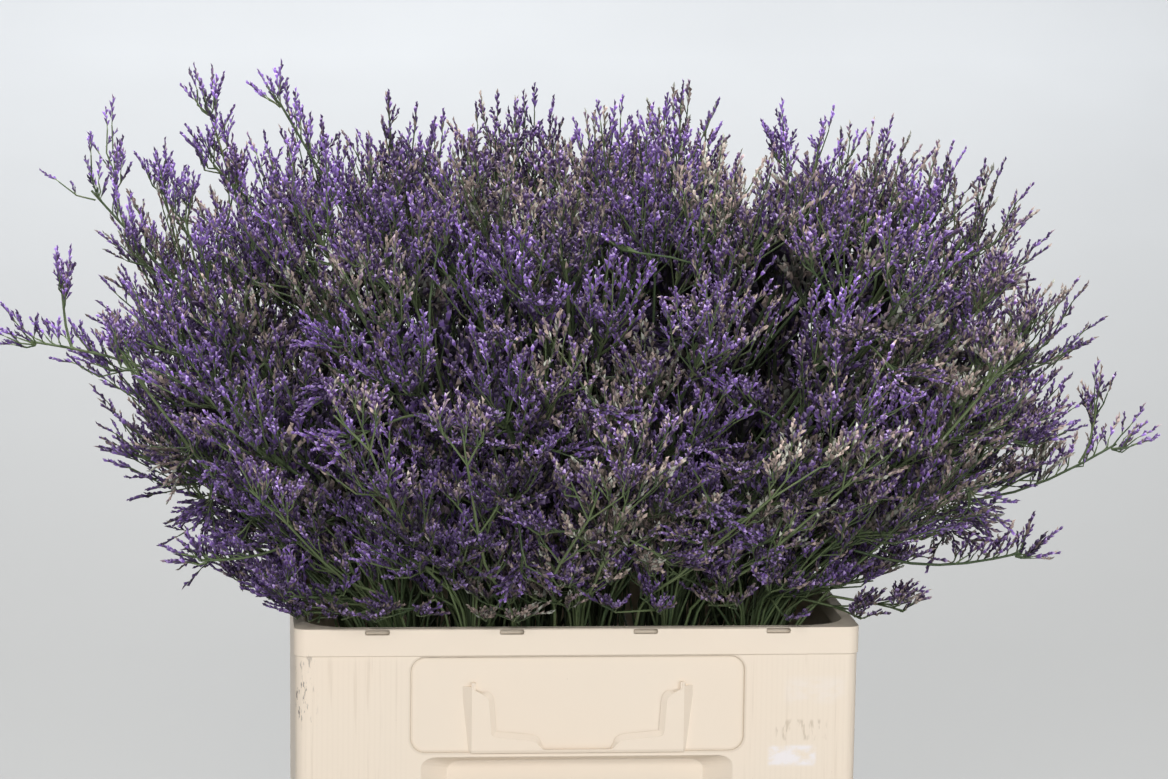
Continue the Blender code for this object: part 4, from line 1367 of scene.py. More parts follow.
def floret_corners(draw, root, way, reach, width):
    """An open or closed floret's foot and three tips, how far out each lies, and its tone."""
    one = square_to(way, Vector((draw.uniform(-1, 1), draw.uniform(-1, 1), 0.1)))
    other = way.cross(one)
    is_open = draw.random() < OPEN_SHARE
    tone = draw.uniform(*(OPEN_TONES if is_open else BUD_TONES))
    width *= 1.0 if is_open else BUD_WIDTH
    corners, outwards = [root - way * FLORET_SINK], [0.0]
    for turn, height in enumerate(OPEN_HEIGHTS if is_open else BUD_HEIGHTS):
        angle = math.tau * turn / 3.0
        ring = one * math.cos(angle) + other * math.sin(angle)
        spread = FLORET_FLARE[0] - FLORET_FLARE[1] * height
        corners.append(root + way * reach * height + ring * width * spread)
        outwards.append(min(1.0, height))
    return corners, outwards, tone


def spikelet_mesh(number, florets, sizes, plain):
    """One spikelet: a short axis with florets on its upper side, along +Z, florets towards +Y."""
    draw = random.Random(KIT_SEED + number)
    length = sizes.spikelet_length * draw.uniform(*SPIKELET_LENGTHS)
    bow = draw.uniform(*SPIKELET_BOWS)
    swing = draw.uniform(*SPIKELET_SWINGS)
    points, faces, along, kind = [], [], [], []

    def axis_at(share):
        return Vector((swing * length * share**2, bow * length * share**2, length * share))

    thin = SPRAY_RADIUS * 0.8
    for turn in range(3):
        angle = math.tau * turn / 3.0
        points.append(Vector((thin * math.cos(angle), thin * math.sin(angle), 0.0)))
    points.append(axis_at(AXIS_END))
    faces += [(0, 1, 3), (1, 2, 3), (2, 0, 3), (2, 1, 0)]
    along += [0.0] * 4
    kind += [AXIS_TONE] * 4
    for index in range(florets):
        share = (index + 0.6) / (florets + 0.2)
        root = axis_at(share * LAST_FLORET)
        hand = 1.0 if index % 2 else -1.0
        way = Vector((hand * draw.uniform(*FLORET_ASIDE), draw.uniform(*FLORET_UP), 1.0))
        way.normalize()
        if index == florets - 1:
            way = Vector((0.0, END_FLORET_UP, 1.0)).normalized()
        taper = 1.0 - FLORET_TAPER * share**2
        reach = sizes.floret_length * draw.uniform(*FLORET_LENGTHS) * taper
        width = sizes.floret_width * draw.uniform(*FLORET_WIDTHS) * taper / 2.0
        if plain:
            reach *= PLAIN_STRETCH
            width *= PLAIN_WIDEN
        foot, a, b, c = range(len(points), len(points) + 4)
        corners, outwards, tone = floret_corners(draw, root, way, reach, width)
        points += corners
        along += outwards
        faces += [(foot, b, a), (foot, c, b), (foot, a, c), (a, b, c)]
        kind += [tone] * 4
    mesh = bpy.data.meshes.new(f"spikelet_{number:02d}")
    mesh.from_pydata(points, [], faces)
    store(mesh, "along", "FLOAT", along)
    store(mesh, "floret", "FLOAT", kind)
    return mesh


def spikelet_kit(sizes):
    """The different spikelets that are repeated: full ones first, then plainer ones."""
    kit = bpy.data.collections.new("spikelet_kit")
    for number in range(sizes.spikelet_kinds * 2):
        plain = number >= sizes.spikelet_kinds
        florets = sizes.plain_florets if plain else sizes.florets + min(0, number % 3 - 1)
        mesh = spikelet_mesh(number, florets, sizes, plain)
        kit.objects.link(bpy.data.objects.new(f"spikelet_{number:02d}", mesh))
    return kit


def clear_collection(group):
    """Remove a helper collection with its objects and meshes."""
    for thing in list(group.objects):
        mesh = thing.data
        bpy.data.objects.remove(thing, do_unlink=True)
        if mesh and mesh.users == 0:
            bpy.data.meshes.remove(mesh)
    bpy.data.collections.remove(group)


def spot_mesh(name, spikelets, kinds):
    """A point for each spikelet, with its turn, size and kind."""
    draw = random.Random(SPOT_SEED)
    mesh = bpy.data.meshes.new(name)
    mesh.from_pydata([s[0] for s in spikelets], [], [])
    turns, picks = [], []
    for _, way, upper, _, _, _, plain in spikelets:
        side = upper.cross(way)
        turn = Matrix((side, upper, way)).transposed()
        turns.append(tuple(turn.to_euler()))
        picks.append(draw.randrange(kinds) + (kinds if plain else 0))
    store(mesh, "turn", "FLOAT_VECTOR", turns)
    store(mesh, "pick", "INT", picks)
    for label, place in (("size", 3), ("mood", 4), ("shade", 5)):
        store(mesh, label, "FLOAT", [spikelet[place] for spikelet in spikelets])
    return mesh


def line_mesh(name, lines):
    """Open chains of edges with a radius, a shade and a tone for each point."""
    points, edges, radius, shade, tone = [], [], [], [], []
    for chain, start, end, dark, hue in lines:
        first = len(points)
        last = len(chain) - 1
        points += chain
        edges += [(first + i, first + i + 1) for i in range(last)]
        radius += [start + (end - start) * i / last for i in range(len(chain))]
        shade += [dark] * len(chain)
        tone += [hue] * len(chain)
    mesh = bpy.data.meshes.new(name)
    mesh.from_pydata(points, edges, [])
    store(mesh, "thickness", "FLOAT", radius)
    store(mesh, "shade", "FLOAT", shade)
    store(mesh, "tone", "FLOAT", tone)
    return mesh


# Geometry Nodes


def new_group(name, kind, inputs, outputs):
    """A node group with named inputs and outputs, and the nodes at its two ends."""
    tree = bpy.data.node_groups.new(name, kind)
    for way, sockets in (("INPUT", inputs), ("OUTPUT", outputs)):
        for label, socket in sockets.items():
            tree.interface.new_socket(label, in_out=way, socket_type=f"NodeSocket{socket}")
    return tree, tree.nodes.new("NodeGroupInput"), tree.nodes.new("NodeGroupOutput")


def geometry_tree(name, inputs, nodes, reads, links):
    """A tree that ends in plain geometry with its material. Links are node.Socket > node.Socket."""
    inputs = {"Geometry": "Geometry", **inputs, "Material": "Material"}
    tree, given, result = new_group(name, "GeometryNodeTree", inputs, {"Geometry": "Geometry"})
    nodes = {**nodes, "real": "RealizeInstances", "finish": "SetMaterial"}
    made = {label: tree.nodes.new(f"GeometryNode{kind}") for label, kind in nodes.items()}
    made.update(given=given, result=result)
    for label, kind in reads.items():
        made[label] = tree.nodes.new("GeometryNodeInputNamedAttribute")
        made[label].data_type = kind
        made[label].inputs["Name"].default_value = label
    ending = (
        "real.Geometry > finish.Geometry", "given.Material > finish.Material",
        "finish.Geometry > result.Geometry",
    )
    for link in (*links, *ending):
        (source, output), (target, socket) = (end.split(".") for end in link.split(" > "))
        tree.links.new(made[source].outputs[output], made[target].inputs[socket])
    return tree, made


def spikelet_tree():
    tree, made = geometry_tree(
        "Spikelets on Points",
        {"Kit": "Collection"},
        {"kit": "CollectionInfo", "spread": "InstanceOnPoints"},
        {"pick": "INT", "turn": "FLOAT_VECTOR", "size": "FLOAT"},
        (
            "given.Kit > kit.Collection",
            "given.Geometry > spread.Points",
            "kit.Instances > spread.Instance",
            "pick.Attribute > spread.Instance Index",
            "turn.Attribute > spread.Rotation",
            "size.Attribute > spread.Scale",
            "spread.Instances > real.Geometry",
        ),
    )
    made["kit"].inputs["Separate Children"].default_value = True
    made["kit"].inputs["Reset Children"].default_value = True
    made["spread"].inputs["Pick Instance"].default_value = True
    return tree


def stalk_tree():
    """Turns chains of edges into round stalks of their stored thickness."""
    tree, made = geometry_tree(
        "Stalks on Lines",
        {"Sides": "Int"},
        {
            "curve": "MeshToCurve", "radius": "SetCurveRadius",
            "circle": "CurvePrimitiveCircle", "sweep": "CurveToMesh",
        },
        {"thickness": "FLOAT"},
        (
            "given.Geometry > curve.Mesh",
            "curve.Curve > radius.Curve",
            "thickness.Attribute > radius.Radius",
            "given.Sides > circle.Resolution",
            "radius.Curve > sweep.Curve",
            "circle.Curve > sweep.Profile Curve",
            "thickness.Attribute > sweep.Scale",
            "sweep.Mesh > real.Geometry",
        ),
    )
    made["circle"].inputs["Radius"].default_value = 1.0
    made["sweep"].inputs["Fill Caps"].default_value = True
    return tree


def evaluated_mesh(thing, name):
    """The plain mesh that an object's modifiers make."""
    bpy.context.view_layer.update()
    ready = thing.evaluated_get(bpy.context.evaluated_depsgraph_get())
    mesh = bpy.data.meshes.new_from_object(ready)
    mesh.name = name
    return mesh


def made_by_tree(name, mesh, tree, values):
    """Run a tree on a mesh and return a plain object of the result."""
    thing = link_new(name, mesh)
    step = thing.modifiers.new(tree.name, "NODES")
    step.node_group = tree
    sockets = {item.name: item.identifier for item in tree.interface.items_tree
               if item.in_out == "INPUT"}
    for label, value in values.items():
        step[sockets[label]] = value
    result = evaluated_mesh(thing, name)
    thing.modifiers.clear()
    thing.data = result
    bpy.data.meshes.remove(mesh)
    if not result.polygons:
        raise RuntimeError(f"{name} came out empty")
    return thing


def lay_out_tones(mesh):
    """Work out each floret's kind, and a map whose place gives kind, along and shade."""
    values = {}
    for name in ("along", "floret", "mood", "shade"):
        values[name] = np.zeros(len(mesh.vertices), np.float32)
        mesh.attributes[name].data.foreach_get("value", values[name])
    kind = np.clip(values["floret"] * KIND_SHARES[0] + values["mood"] * KIND_SHARES[1], 0.0, 1.0)
    level = np.floor(np.clip(values["shade"], 0.0, 0.999) * SHADE_LEVELS)
    store(mesh, "kind", "FLOAT", kind)
    steps = (level / (SHADE_LEVELS - 1)).astype(np.float32)
    mesh.attributes["shade"].data.foreach_set("value", steps)
    corners = np.zeros(len(mesh.loops), np.int32)
    mesh.loops.foreach_get("vertex_index", corners)
    spot = np.arange(len(corners)) % 3
    places = np.empty((len(corners), 2), np.float32)
    row = level[corners] + ROW_START + ROW_SPAN * values["along"][corners]
    places[:, 0] = CHART_START + CHART_SPAN * kind[corners] + CHART_STEP * spot
    places[:, 1] = row / SHADE_LEVELS
    for name in ("floret", "mood", "size", "pick", "turn"):
        if name in mesh.attributes:
            mesh.attributes.remove(mesh.attributes[name])
    chart = mesh.uv_layers.new(name="OFBake")
    chart.uv.foreach_set("vector", places.ravel())


# Bucket


def round_edges(shape, edges, radius, steps):
    """Round some edges of a bmesh."""
    bmesh.ops.bevel(
        shape, geom=edges, offset=radius, segments=steps, profile=0.5, affect="EDGES"
    )


def edges_along(shape, axis):
    """The edges of a box that run along an axis."""
    def rise(edge):
        return abs(edge.verts[0].co[axis] - edge.verts[1].co[axis])
    return [edge for edge in shape.edges if rise(edge) > EDGE_TOLERANCE]


def tapered_box(half_x, half_y, z_low, z_high, corner):
    """A box that narrows downwards from the rim, its upright edges rounded."""
    shape = bmesh.new()
    bmesh.ops.create_cube(shape, size=2.0)
    for point in shape.verts:
        z = z_low if point.co.z < 0.0 else z_high
        lean = WALL_LEAN * (BUCKET_HEIGHT - z) / BUCKET_HEIGHT
        point.co = (point.co.x * (half_x - lean), point.co.y * (half_y - lean), z)
    round_edges(shape, edges_along(shape, 2), corner, CORNER_STEPS)
    return shape


def wall_frame(side):
    """The frame of the front (-1) or back (+1) wall: x across, y outwards, z down the wall."""
    lean = math.atan(WALL_LEAN / BUCKET_HEIGHT)
    turn = Matrix.Rotation(math.pi if side > 0 else 0.0, 4, "Z")
    axes = Matrix(
        (
            (1.0, 0.0, 0.0, 0.0),
            (0.0, -math.cos(lean), math.sin(lean), BAND_PROUD - BUCKET_DEPTH / 2.0),
            (0.0, -math.sin(lean), -math.cos(lean), BUCKET_HEIGHT),
            (0.0, 0.0, 0.0, 1.0),
        )
    )
    return turn @ axes


def set_in_wall(shape, side):
    """Move a shape from the wall's own frame to its place."""
    bmesh.ops.transform(shape, matrix=wall_frame(side), verts=shape.verts)
    bmesh.ops.recalc_face_normals(shape, faces=shape.faces)


def mesh_of(name, shape):
    """The plain mesh of a bmesh, which is freed."""
    mesh = bpy.data.meshes.new(name)
    shape.to_mesh(mesh)
    shape.free()
    return mesh


def add_helper(name, shape, group):
    """Put a bmesh into a collection that a Boolean takes."""
    group.objects.link(bpy.data.objects.new(name, mesh_of(name, shape)))


def wall_block(side, x_range, drops, outs, slant=0.0, corner=0.0):
    """A block set in a wall, its inner face smaller by slant, its corners round from outside."""
    shape = bmesh.new()
    bmesh.ops.create_cube(shape, size=2.0)
    middle = sum(x_range) / 2.0
    half = (x_range[1] - x_range[0]) / 2.0
    for point in shape.verts:
        inner = point.co.y < 0.0
        shrink = slant if inner else 0.0
        low = point.co.z < 0.0
        point.co.x = middle + math.copysign(half - shrink, point.co.x)
        point.co.y = outs[0] if inner else outs[1]
        point.co.z = drops[0] + shrink * TOP_SLANT if low else drops[1] - shrink * FOOT_SLANT
    if corner > 0.0:
        round_edges(shape, edges_along(shape, 1), corner, CUTTER_STEPS)
    set_in_wall(shape, side)
    return shape


def rounded(corners, steps=4):
    """A closed outline of (x, drop, radius) corners, each turned into a short curve."""
    line = []
    for index, (x, drop, radius) in enumerate(corners):
        here = Vector((x, drop))
        ends = []
        for other in (corners[index - 1], corners[(index + 1) % len(corners)]):
            way = Vector(other[:2]) - here
            ends.append(here + way.normalized() * min(radius, way.length * ROUND_LIMIT))
        line += bend_towards(ends[0], here, ends[1], steps)
    return line


def inset(outline, distance):
    """The outline moved inwards by a small distance."""
    turns = sum(a.x * b.y - b.x * a.y for a, b in zip(outline, outline[1:] + outline[:1]))
    hand = math.copysign(1.0, turns)
    moved = []
    for index, here in enumerate(outline):
        back = (here - outline[index - 1]).normalized()
        onward = (outline[(index + 1) % len(outline)] - here).normalized()
        normal = Vector((-(back.y + onward.y), back.x + onward.x)) * hand
        scale = max(MITRE_LIMIT, normal.length / 2.0)
        moved.append(here + normal.normalized() * distance / scale)
    return moved


def skin_over(shape, rings):
    """Faces between rings of points, and over the first and the last ring."""
    shape.faces.new(rings[0])
    shape.faces.new(list(reversed(rings[-1])))
    for near, far in zip(rings, rings[1:]):
        for index in range(len(near)):
            after = (index + 1) % len(near)
            shape.faces.new((near[index], far[index], far[after], near[after]))


def shell_from(shape, outline, low, high, edge):
    """A slab with this outline between two distances out of the wall, its outer edge chamfered."""
    rings = []
    for line, out in ((outline, low), (outline, high - edge), (inset(outline, edge), high)):
        rings.append([shape.verts.new((point.x, out, point.y)) for point in line])
    skin_over(shape, rings)


def holder_lip(shape, back, front):
    """The sloping inner edge of the card holder's cut-out, a thin wedge along each half of it."""
    for hand in (-1.0, 1.0):
        corners = [Vector((hand * x, drop)) for x, drop in HOLDER_CUTOUT]
        line = [corners[0]]
        neighbours = zip(corners, corners[1:], corners[2:], CUTOUT_ROUNDS[1:])
        for before, here, after, radius in neighbours:
            start = here + (before - here).normalized() * radius
            end = here + (after - here).normalized() * radius
            line += bend_towards(start, here, end, 3)
        line.append(corners[-1])
        last = len(line) - 1
        rings = []
        for index, here in enumerate(line):
            way = (line[min(last, index + 1)] - line[max(0, index - 1)]).normalized()
            square = Vector((-way.y, way.x)) * hand
            fade = min(1.0, index / LIP_FADES[0], (last - index) / LIP_FADES[1] + LIP_END)
            foot = here + square * LIP_SLOPE * fade
            heel = Vector((here.x - square.x * LIP_HEEL, here.y - square.y * LIP_HEEL))
            places = ((here, front - LIP_SET), (foot, back - LIP_SINK), (heel, back - LIP_SINK))
            rings.append([shape.verts.new((point.x, out, point.y)) for point, out in places])
        skin_over(shape, rings)


def holder_mesh(side):
    """The card holder: a U plate with a stepped cut-out, on walls, with a wedge at each side."""
    outer = HOLDER_HALF_WIDTH
    top, bottom = HOLDER_DROPS
    foot_round, top_round = HOLDER_ROUNDS
    right = [(outer, bottom, foot_round)]
    right += [(x, top, top_round) for x in (outer, outer - ARM_TIP)]
    right += [(x, drop, radius) for (x, drop), radius in zip(HOLDER_CUTOUT, CUTOUT_ROUNDS)]
    left = [(-x, drop, radius) for x, drop, radius in reversed(right)]
    shape = bmesh.new()
    back = HOLDER_SLOT - PANEL_DEPTH
    front = back + HOLDER_SKIN
    behind = front - HOLDER_SINK
    root = -PANEL_DEPTH - HOLDER_SINK
    shell_from(shape, rounded(right + left), back, front, HOLDER_CHAMFER)
    holder_lip(shape, back, front)
    tuck = HOLDER_TUCK
    walls = [((-outer + tuck, bottom - HOLDER_EDGE / 2), (outer - tuck, bottom - tuck))]
    for hand in (-1.0, 1.0):
        inner_top = hand * (outer - HOLDER_EDGE), top + tuck
        walls.append((inner_top, (hand * (outer - tuck), bottom - 2 * tuck)))
    for (x0, z0), (x1, z1) in walls:
        square = [Vector((x0, z0)), Vector((x1, z0)), Vector((x1, z1)), Vector((x0, z1))]
        shell_from(shape, square, root, behind, HOLDER_CHAMFER / 2)
    drops = top + GUSSET_TRIMS[0], bottom - GUSSET_TRIMS[1]
    for hand in (-1.0, 1.0):
        rings = []
        for drop, width in zip(drops, (GUSSET_WIDTH, GUSSET_FOOT)):
            section = (root, width), (behind, 0.0), (behind, -GUSSET_TUCK), (root, -GUSSET_TUCK)
            rings.append([shape.verts.new((hand * (outer + across), out, drop))
                          for out, across in section])
        skin_over(shape, rings)
    set_in_wall(shape, side)
    return mesh_of("card_holder", shape)


def modify(thing, kind, **settings):
    """Give an object a modifier with these settings."""
    step = thing.modifiers.new(kind.lower(), kind)
    for name, value in settings.items():
        setattr(step, name, value)


def wall_blocks(linings, recesses, cavities):
    """What is set in a wall: each block's name, collection and the measures wall_block takes."""
    half = WINDOW_WIDTH / 2.0
    lining_half = half + WALL_THICKNESS
    lining_drops = WINDOW_DROPS[0] - WALL_THICKNESS, WINDOW_DROPS[1] + WALL_THICKNESS
    lining_outs = -WINDOW_DEPTH - WALL_THICKNESS, -WALL_THICKNESS / 2.0
    lining = (-lining_half, lining_half), lining_drops, lining_outs, WINDOW_SLANT
    window = (-half, half), WINDOW_DROPS, (-WINDOW_DEPTH, CUT_PROUD), WINDOW_SLANT, WINDOW_CORNER
    half = PANEL_WIDTH / 2.0
    panel = (-half, half), PANEL_DROPS, (-PANEL_DEPTH, CUT_PROUD), 0.0, PANEL_CORNER
    blocks = [("lining", linings, lining), ("window", recesses, window), ("panel", cavities, panel)]
    for centre in SLOT_CENTRES:
        across = centre - SLOT_WIDTH / 2.0, centre + SLOT_WIDTH / 2.0
        slot = across, SLOT_DROPS, (-SLOT_DEPTH, CUT_PROUD), 0.0, SLOT_CORNER
        blocks.append(("rim_slot", recesses, slot))
    return blocks


def bucket_mesh(look):
    """The moulded bucket with its rim band, panels, card holders and small edge rounds."""
    half_x, half_y = BUCKET_WIDTH / 2.0, BUCKET_DEPTH / 2.0
    low_x, low_y = half_x - BAND_PROUD, half_y - BAND_PROUD
    lip_foot = BUCKET_HEIGHT - LIP_HEIGHT
    shell = tapered_box(low_x, low_y, 0.0, BUCKET_HEIGHT - BAND_OVERLAP, OUTER_CORNER)
    lowest = min(v.co.z for v in shell.verts)
    foot = [e for e in shell.edges if all(v.co.z < lowest + TINY_LENGTH for v in e.verts)]
    round_edges(shell, foot, FOOT_CHAMFER, 3)
    words = ("added", "hollow", "lined", "cut")
    helpers = [bpy.data.collections.new(f"bucket_{word}") for word in words]
    additions, cavities, linings, recesses = helpers
    band = half_x, half_y, BUCKET_HEIGHT - BAND_HEIGHT, BUCKET_HEIGHT, OUTER_CORNER
    inner_x, inner_y = low_x - WALL_THICKNESS, low_y - WALL_THICKNESS
    cavity = inner_x, inner_y, FLOOR_THICKNESS, lip_foot, CAVITY_CORNER
    mouth_x, mouth_y = half_x - LIP_WIDTH, half_y - LIP_WIDTH
    mouth_z = lip_foot - MOUTH_TRIMS[0], BUCKET_HEIGHT + MOUTH_TRIMS[1]
    mouth = mouth_x, mouth_y, *mouth_z, MOUTH_CORNER
    add_helper("rim_band", tapered_box(*band), additions)
    add_helper("cavity", tapered_box(*cavity), cavities)
    add_helper("mouth", tapered_box(*mouth), cavities)
    for side in (-1, 1):
        for name, group, measures in wall_blocks(linings, recesses, cavities):
            add_helper(name, wall_block(side, *measures), group)
    bucket = link_new("bucket_moulding", mesh_of("bucket_shell", shell))
    for index, group in enumerate(helpers):
        modify(
            bucket, "BOOLEAN", operation="DIFFERENCE" if index % 2 else "UNION", solver="EXACT",
            operand_type="COLLECTION", collection=group,
        )
    modify(bucket, "WELD", merge_threshold=WELD_REACH)
    modify(
        bucket, "BEVEL", width=look.edge_round, segments=2, limit_method="ANGLE",
        angle_limit=SHARP_ANGLE, use_clamp_overlap=False, harden_normals=True,
    )
    result = evaluated_mesh(bucket, bucket.name)
    bucket.modifiers.clear()
    bucket.data = result
    for group in helpers:
        clear_collection(group)
    holders = [link_new("card_holder", holder_mesh(side)) for side in (-1, 1)]
    return joined("bucket_moulding", (bucket, *holders))


# Materials


def linear(red, green, blue):
    """A colour picked in sRGB steps of 0 to 255, as linear light."""
    def channel(value):
        value /= 255.0
        return value / 12.92 if value <= 0.04045 else ((value + 0.055) / 1.055) ** 2.4
    return channel(red), channel(green), channel(blue)


class Nodes:
    """A short way to write a shader tree."""

    def __init__(self, tree):
        self.tree = tree

    def add(self, kind, **settings):
        """A node with its plain settings."""
        node = self.tree.nodes.new(kind)
        for name, value in settings.items():
            setattr(node, name, value)
        return node

    def link(self, source, target):
        """Join two sockets, or set a value."""
        if isinstance(source, (int, float, tuple)):
            target.default_value = source
        else:
            self.tree.links.new(source, target)

    def maths(self, operation, first, second=0.0):
        """A Math node's result."""
        node = self.add("ShaderNodeMath", operation=operation)
        self.link(first, node.inputs[0])
        self.link(second, node.inputs[1])
        return node.outputs[0]

    def times(self, *factors):
        """The product of several values."""
        product = factors[0]
        for factor in factors[1:]:
            product = self.maths("MULTIPLY", product, factor)
        return product

    def plus(self, *terms):
        """The sum of several values."""
        total = terms[0]
        for term in terms[1:]:
            total = self.maths("ADD", total, term)
        return total

    def mix(self, share, first, second, blend_type="MIX"):
        """A colour Mix node's result."""
        node = self.add("ShaderNodeMix", data_type="RGBA", blend_type=blend_type)
        self.link(share, node.inputs[0])
        for value, socket in ((first, node.inputs[6]), (second, node.inputs[7])):
            is_colour = isinstance(value, tuple) and len(value) == 3
            self.link((*value, 1.0) if is_colour else value, socket)
        return node.outputs[2]

    def span(self, value, low, high, to_low=0.0, to_high=1.0, smooth=True):
        """A Map Range node's result."""
        node = self.add("ShaderNodeMapRange")
        node.interpolation_type = "SMOOTHSTEP" if smooth else "LINEAR"
        for socket, number in zip(node.inputs, (value, low, high, to_low, to_high)):
            self.link(number, socket)
        return node.outputs["Result"]

    def noise(self, vector, scale, detail=3.0, roughness=0.55):
        """A noise of the given scale on a vector, or stretched by one scale for each axis."""
        if isinstance(scale, tuple):
            mapping = self.add("ShaderNodeMapping")
            self.link(vector, mapping.inputs["Vector"])
            mapping.inputs["Scale"].default_value = scale
            vector, scale = mapping.outputs["Vector"], 1.0
        node = self.add("ShaderNodeTexNoise")
        self.link(vector, node.inputs["Vector"])
        node.inputs["Scale"].default_value = scale
        node.inputs["Detail"].default_value = detail
        node.inputs["Roughness"].default_value = roughness
        return node.outputs["Fac"]

    def place(self):
        """The place on the object."""
        return self.add("ShaderNodeTexCoord").outputs["Object"]

    def split(self, vector):
        """The x, y and z of a vector."""
        node = self.add("ShaderNodeSeparateXYZ")
        self.link(vector, node.inputs[0])
        return node.outputs

    def attribute(self, name):
        """A stored number."""
        return self.add("ShaderNodeAttribute", attribute_name=name).outputs["Fac"]

    def dimmed(self, colour, light):
        """A colour under this much light."""
        grey = self.add("ShaderNodeCombineColor")
        for socket in grey.inputs:
            self.link(light, socket)
        return self.mix(1.0, colour, grey.outputs[0], "MULTIPLY")


def shader_group(name, colours):
    """A shader group with colour inputs and the three usual outputs, its nodes and its ends."""
    outputs = {"Base Color": "Color", "Roughness": "Float", "Bump Height": "Float"}
    inputs = dict.fromkeys(colours, "Color")
    tree, given, result = new_group(name, "ShaderNodeTree", inputs, outputs)
    return tree, Nodes(tree), given.outputs, result.inputs


def floret_group():
    """Papery florets: green foot, grey calyx, then violet, tan or silver, with painted shade that
    darkens them deep inside the bunch.
    """
    labels = ("Violet", "Deep Violet", "Lilac Tip", "Bud Tan", "Silver", "Calyx", "Green")
    tree, n, paint, result = shader_group("Papery Floret", labels)
    kind, along, shade = n.attribute("kind"), n.attribute("along"), n.attribute("shade")
    silver = n.span(kind, *SILVER_BAND)
    petal = n.mix(n.span(kind, *DEEP_BAND), paint["Violet"], paint["Deep Violet"])
    petal = n.mix(n.span(kind, *TAN_BAND), petal, paint["Bud Tan"])
    petal = n.mix(silver, petal, paint["Silver"])
    tip = n.mix(n.span(kind, *TAN_TIP_BAND), paint["Lilac Tip"], paint["Bud Tan"])
    tip = n.mix(silver, tip, paint["Silver"])
    foot = n.mix(n.span(along, *CALYX_BAND), paint["Green"], paint["Calyx"])
    body = n.mix(n.span(along, *PETAL_BAND), foot, petal)
    body = n.mix(n.span(along, *TIP_BAND), body, tip)
    wave = n.maths("SINE", n.times(kind, TONE_WAVES))
    light = n.span(wave, -1.0, 1.0, *TONE_LIGHT, smooth=False)
    # Painted shade: the stored shade darkens florets inside the bunch, near the rim and at spray
    # roots
    depth = n.span(shade, 0.0, 1.0, *FLORET_DEPTH, smooth=False)
    n.link(n.dimmed(body, n.times(light, depth)), result["Base Color"])
    n.link(n.span(along, *FLORET_ROUGHNESS), result["Roughness"])
    ridge = n.maths("SINE", n.times(along, RIDGE_WAVES))
    n.link(n.times(ridge, RIDGE_HEIGHT), result["Bump Height"])
    return tree


def stalk_group():
    """Green stalks, paler and browner in places, with fine ribs along them, darkened by painted
    shade.
    """
    tree, n, paint, result = shader_group("Green Stalk", ("Green", "Dark Green", "Straw"))
    place = n.place()
    tone, shade = n.attribute("tone"), n.attribute("shade")
    streak = n.noise(place, *STREAK_NOISE)
    patch = n.noise(place, *PATCH_NOISE)
    green = n.mix(n.span(tone, *GREEN_BAND), paint["Dark Green"], paint["Green"])
    green = n.mix(n.span(streak, *STREAK_BAND), green, paint["Green"])
    green = n.mix(n.span(patch, *STRAW_BAND), green, paint["Straw"])
    # Painted shade: the stored shade darkens stalks inside the bunch
    depth = n.span(shade, 0.0, 1.0, *STALK_DEPTH, smooth=False)
    n.link(n.dimmed(green, depth), result["Base Color"])
    n.link(n.span(patch, *STALK_ROUGHNESS), result["Roughness"])
    n.link(streak, result["Bump Height"])
    return tree


def panel_groove(n, far_x, far_y, z):
    """Where painted shade lies in the rounded edge of the shallow panel."""
    corner = n.maths("SUBTRACT", far_x, PANEL_WIDTH / 2.0 - PANEL_CORNER)
    middle = BUCKET_HEIGHT - sum(PANEL_DROPS) / 2.0
    half = (PANEL_DROPS[1] - PANEL_DROPS[0]) / 2.0 - PANEL_CORNER
    above = n.maths("SUBTRACT", n.maths("ABSOLUTE", n.maths("SUBTRACT", z, middle)), half)
    past = [n.maths("POWER", n.maths("MAXIMUM", side, 0.0), 2.0) for side in (corner, above)]
    off = n.maths("SUBTRACT", n.maths("SQRT", n.plus(*past)), PANEL_CORNER)
    edge = n.span(n.maths("ABSOLUTE", off), *GROOVE_FADE)
    return n.times(edge, n.span(far_y, *ON_LONG_WALLS))


def rim_slots(n, x, far_x, far_y, z):
    """Where painted shade darkens the insides of the rim's four slots."""
    pitch = SLOT_CENTRES[1] - SLOT_CENTRES[0]
    half, soft = SLOT_WIDTH / 2.0, SLOT_FADE
    top, foot = BUCKET_HEIGHT - SLOT_DROPS[0], BUCKET_HEIGHT - SLOT_DROPS[1]
    near = n.maths("PINGPONG", n.maths("SUBTRACT", x, SLOT_CENTRES[0]), pitch / 2.0)
    return n.times(
        n.span(n.maths("ABSOLUTE", near), half + soft, half - soft),
        n.span(z, foot - soft, foot), n.span(z, BUCKET_HEIGHT - soft, top),
        n.span(far_x, *SLOTS_WITHIN), n.span(far_y, *SLOTS_BEYOND),
    )


def scratch_marks(n, place, x, y, z):
    """Where the dark scratches beside the front wall's left edge are."""
    scratch = n.noise(place, *SCRATCH_NOISE)
    return n.times(
        n.span(scratch, *SCRATCH_BAND), n.span(x, *SCRATCH_X), n.span(y, *SCRATCH_Y),
        *[n.span(z, *fade) for fade in SCRATCH_Z],
        n.span(n.noise(place, *SCRATCH_BREAKS), *SCRATCH_BREAK_BAND),
    )


def inner_darkening(n, far_x, far_y, z):
    """How much the bucket's inside is darkened, more towards the bottom, without the recess that
    bulges in.
    """
    recess = n.times(n.span(far_x, *RECESS_X), n.span(far_y, *RECESS_Y))
    return n.times(
        n.span(far_x, *INSIDE_X), n.span(far_y, *INSIDE_Y),
        n.span(z, *INSIDE_DARKER_DOWNWARDS), n.maths("SUBTRACT", 1.0, recess),
    )


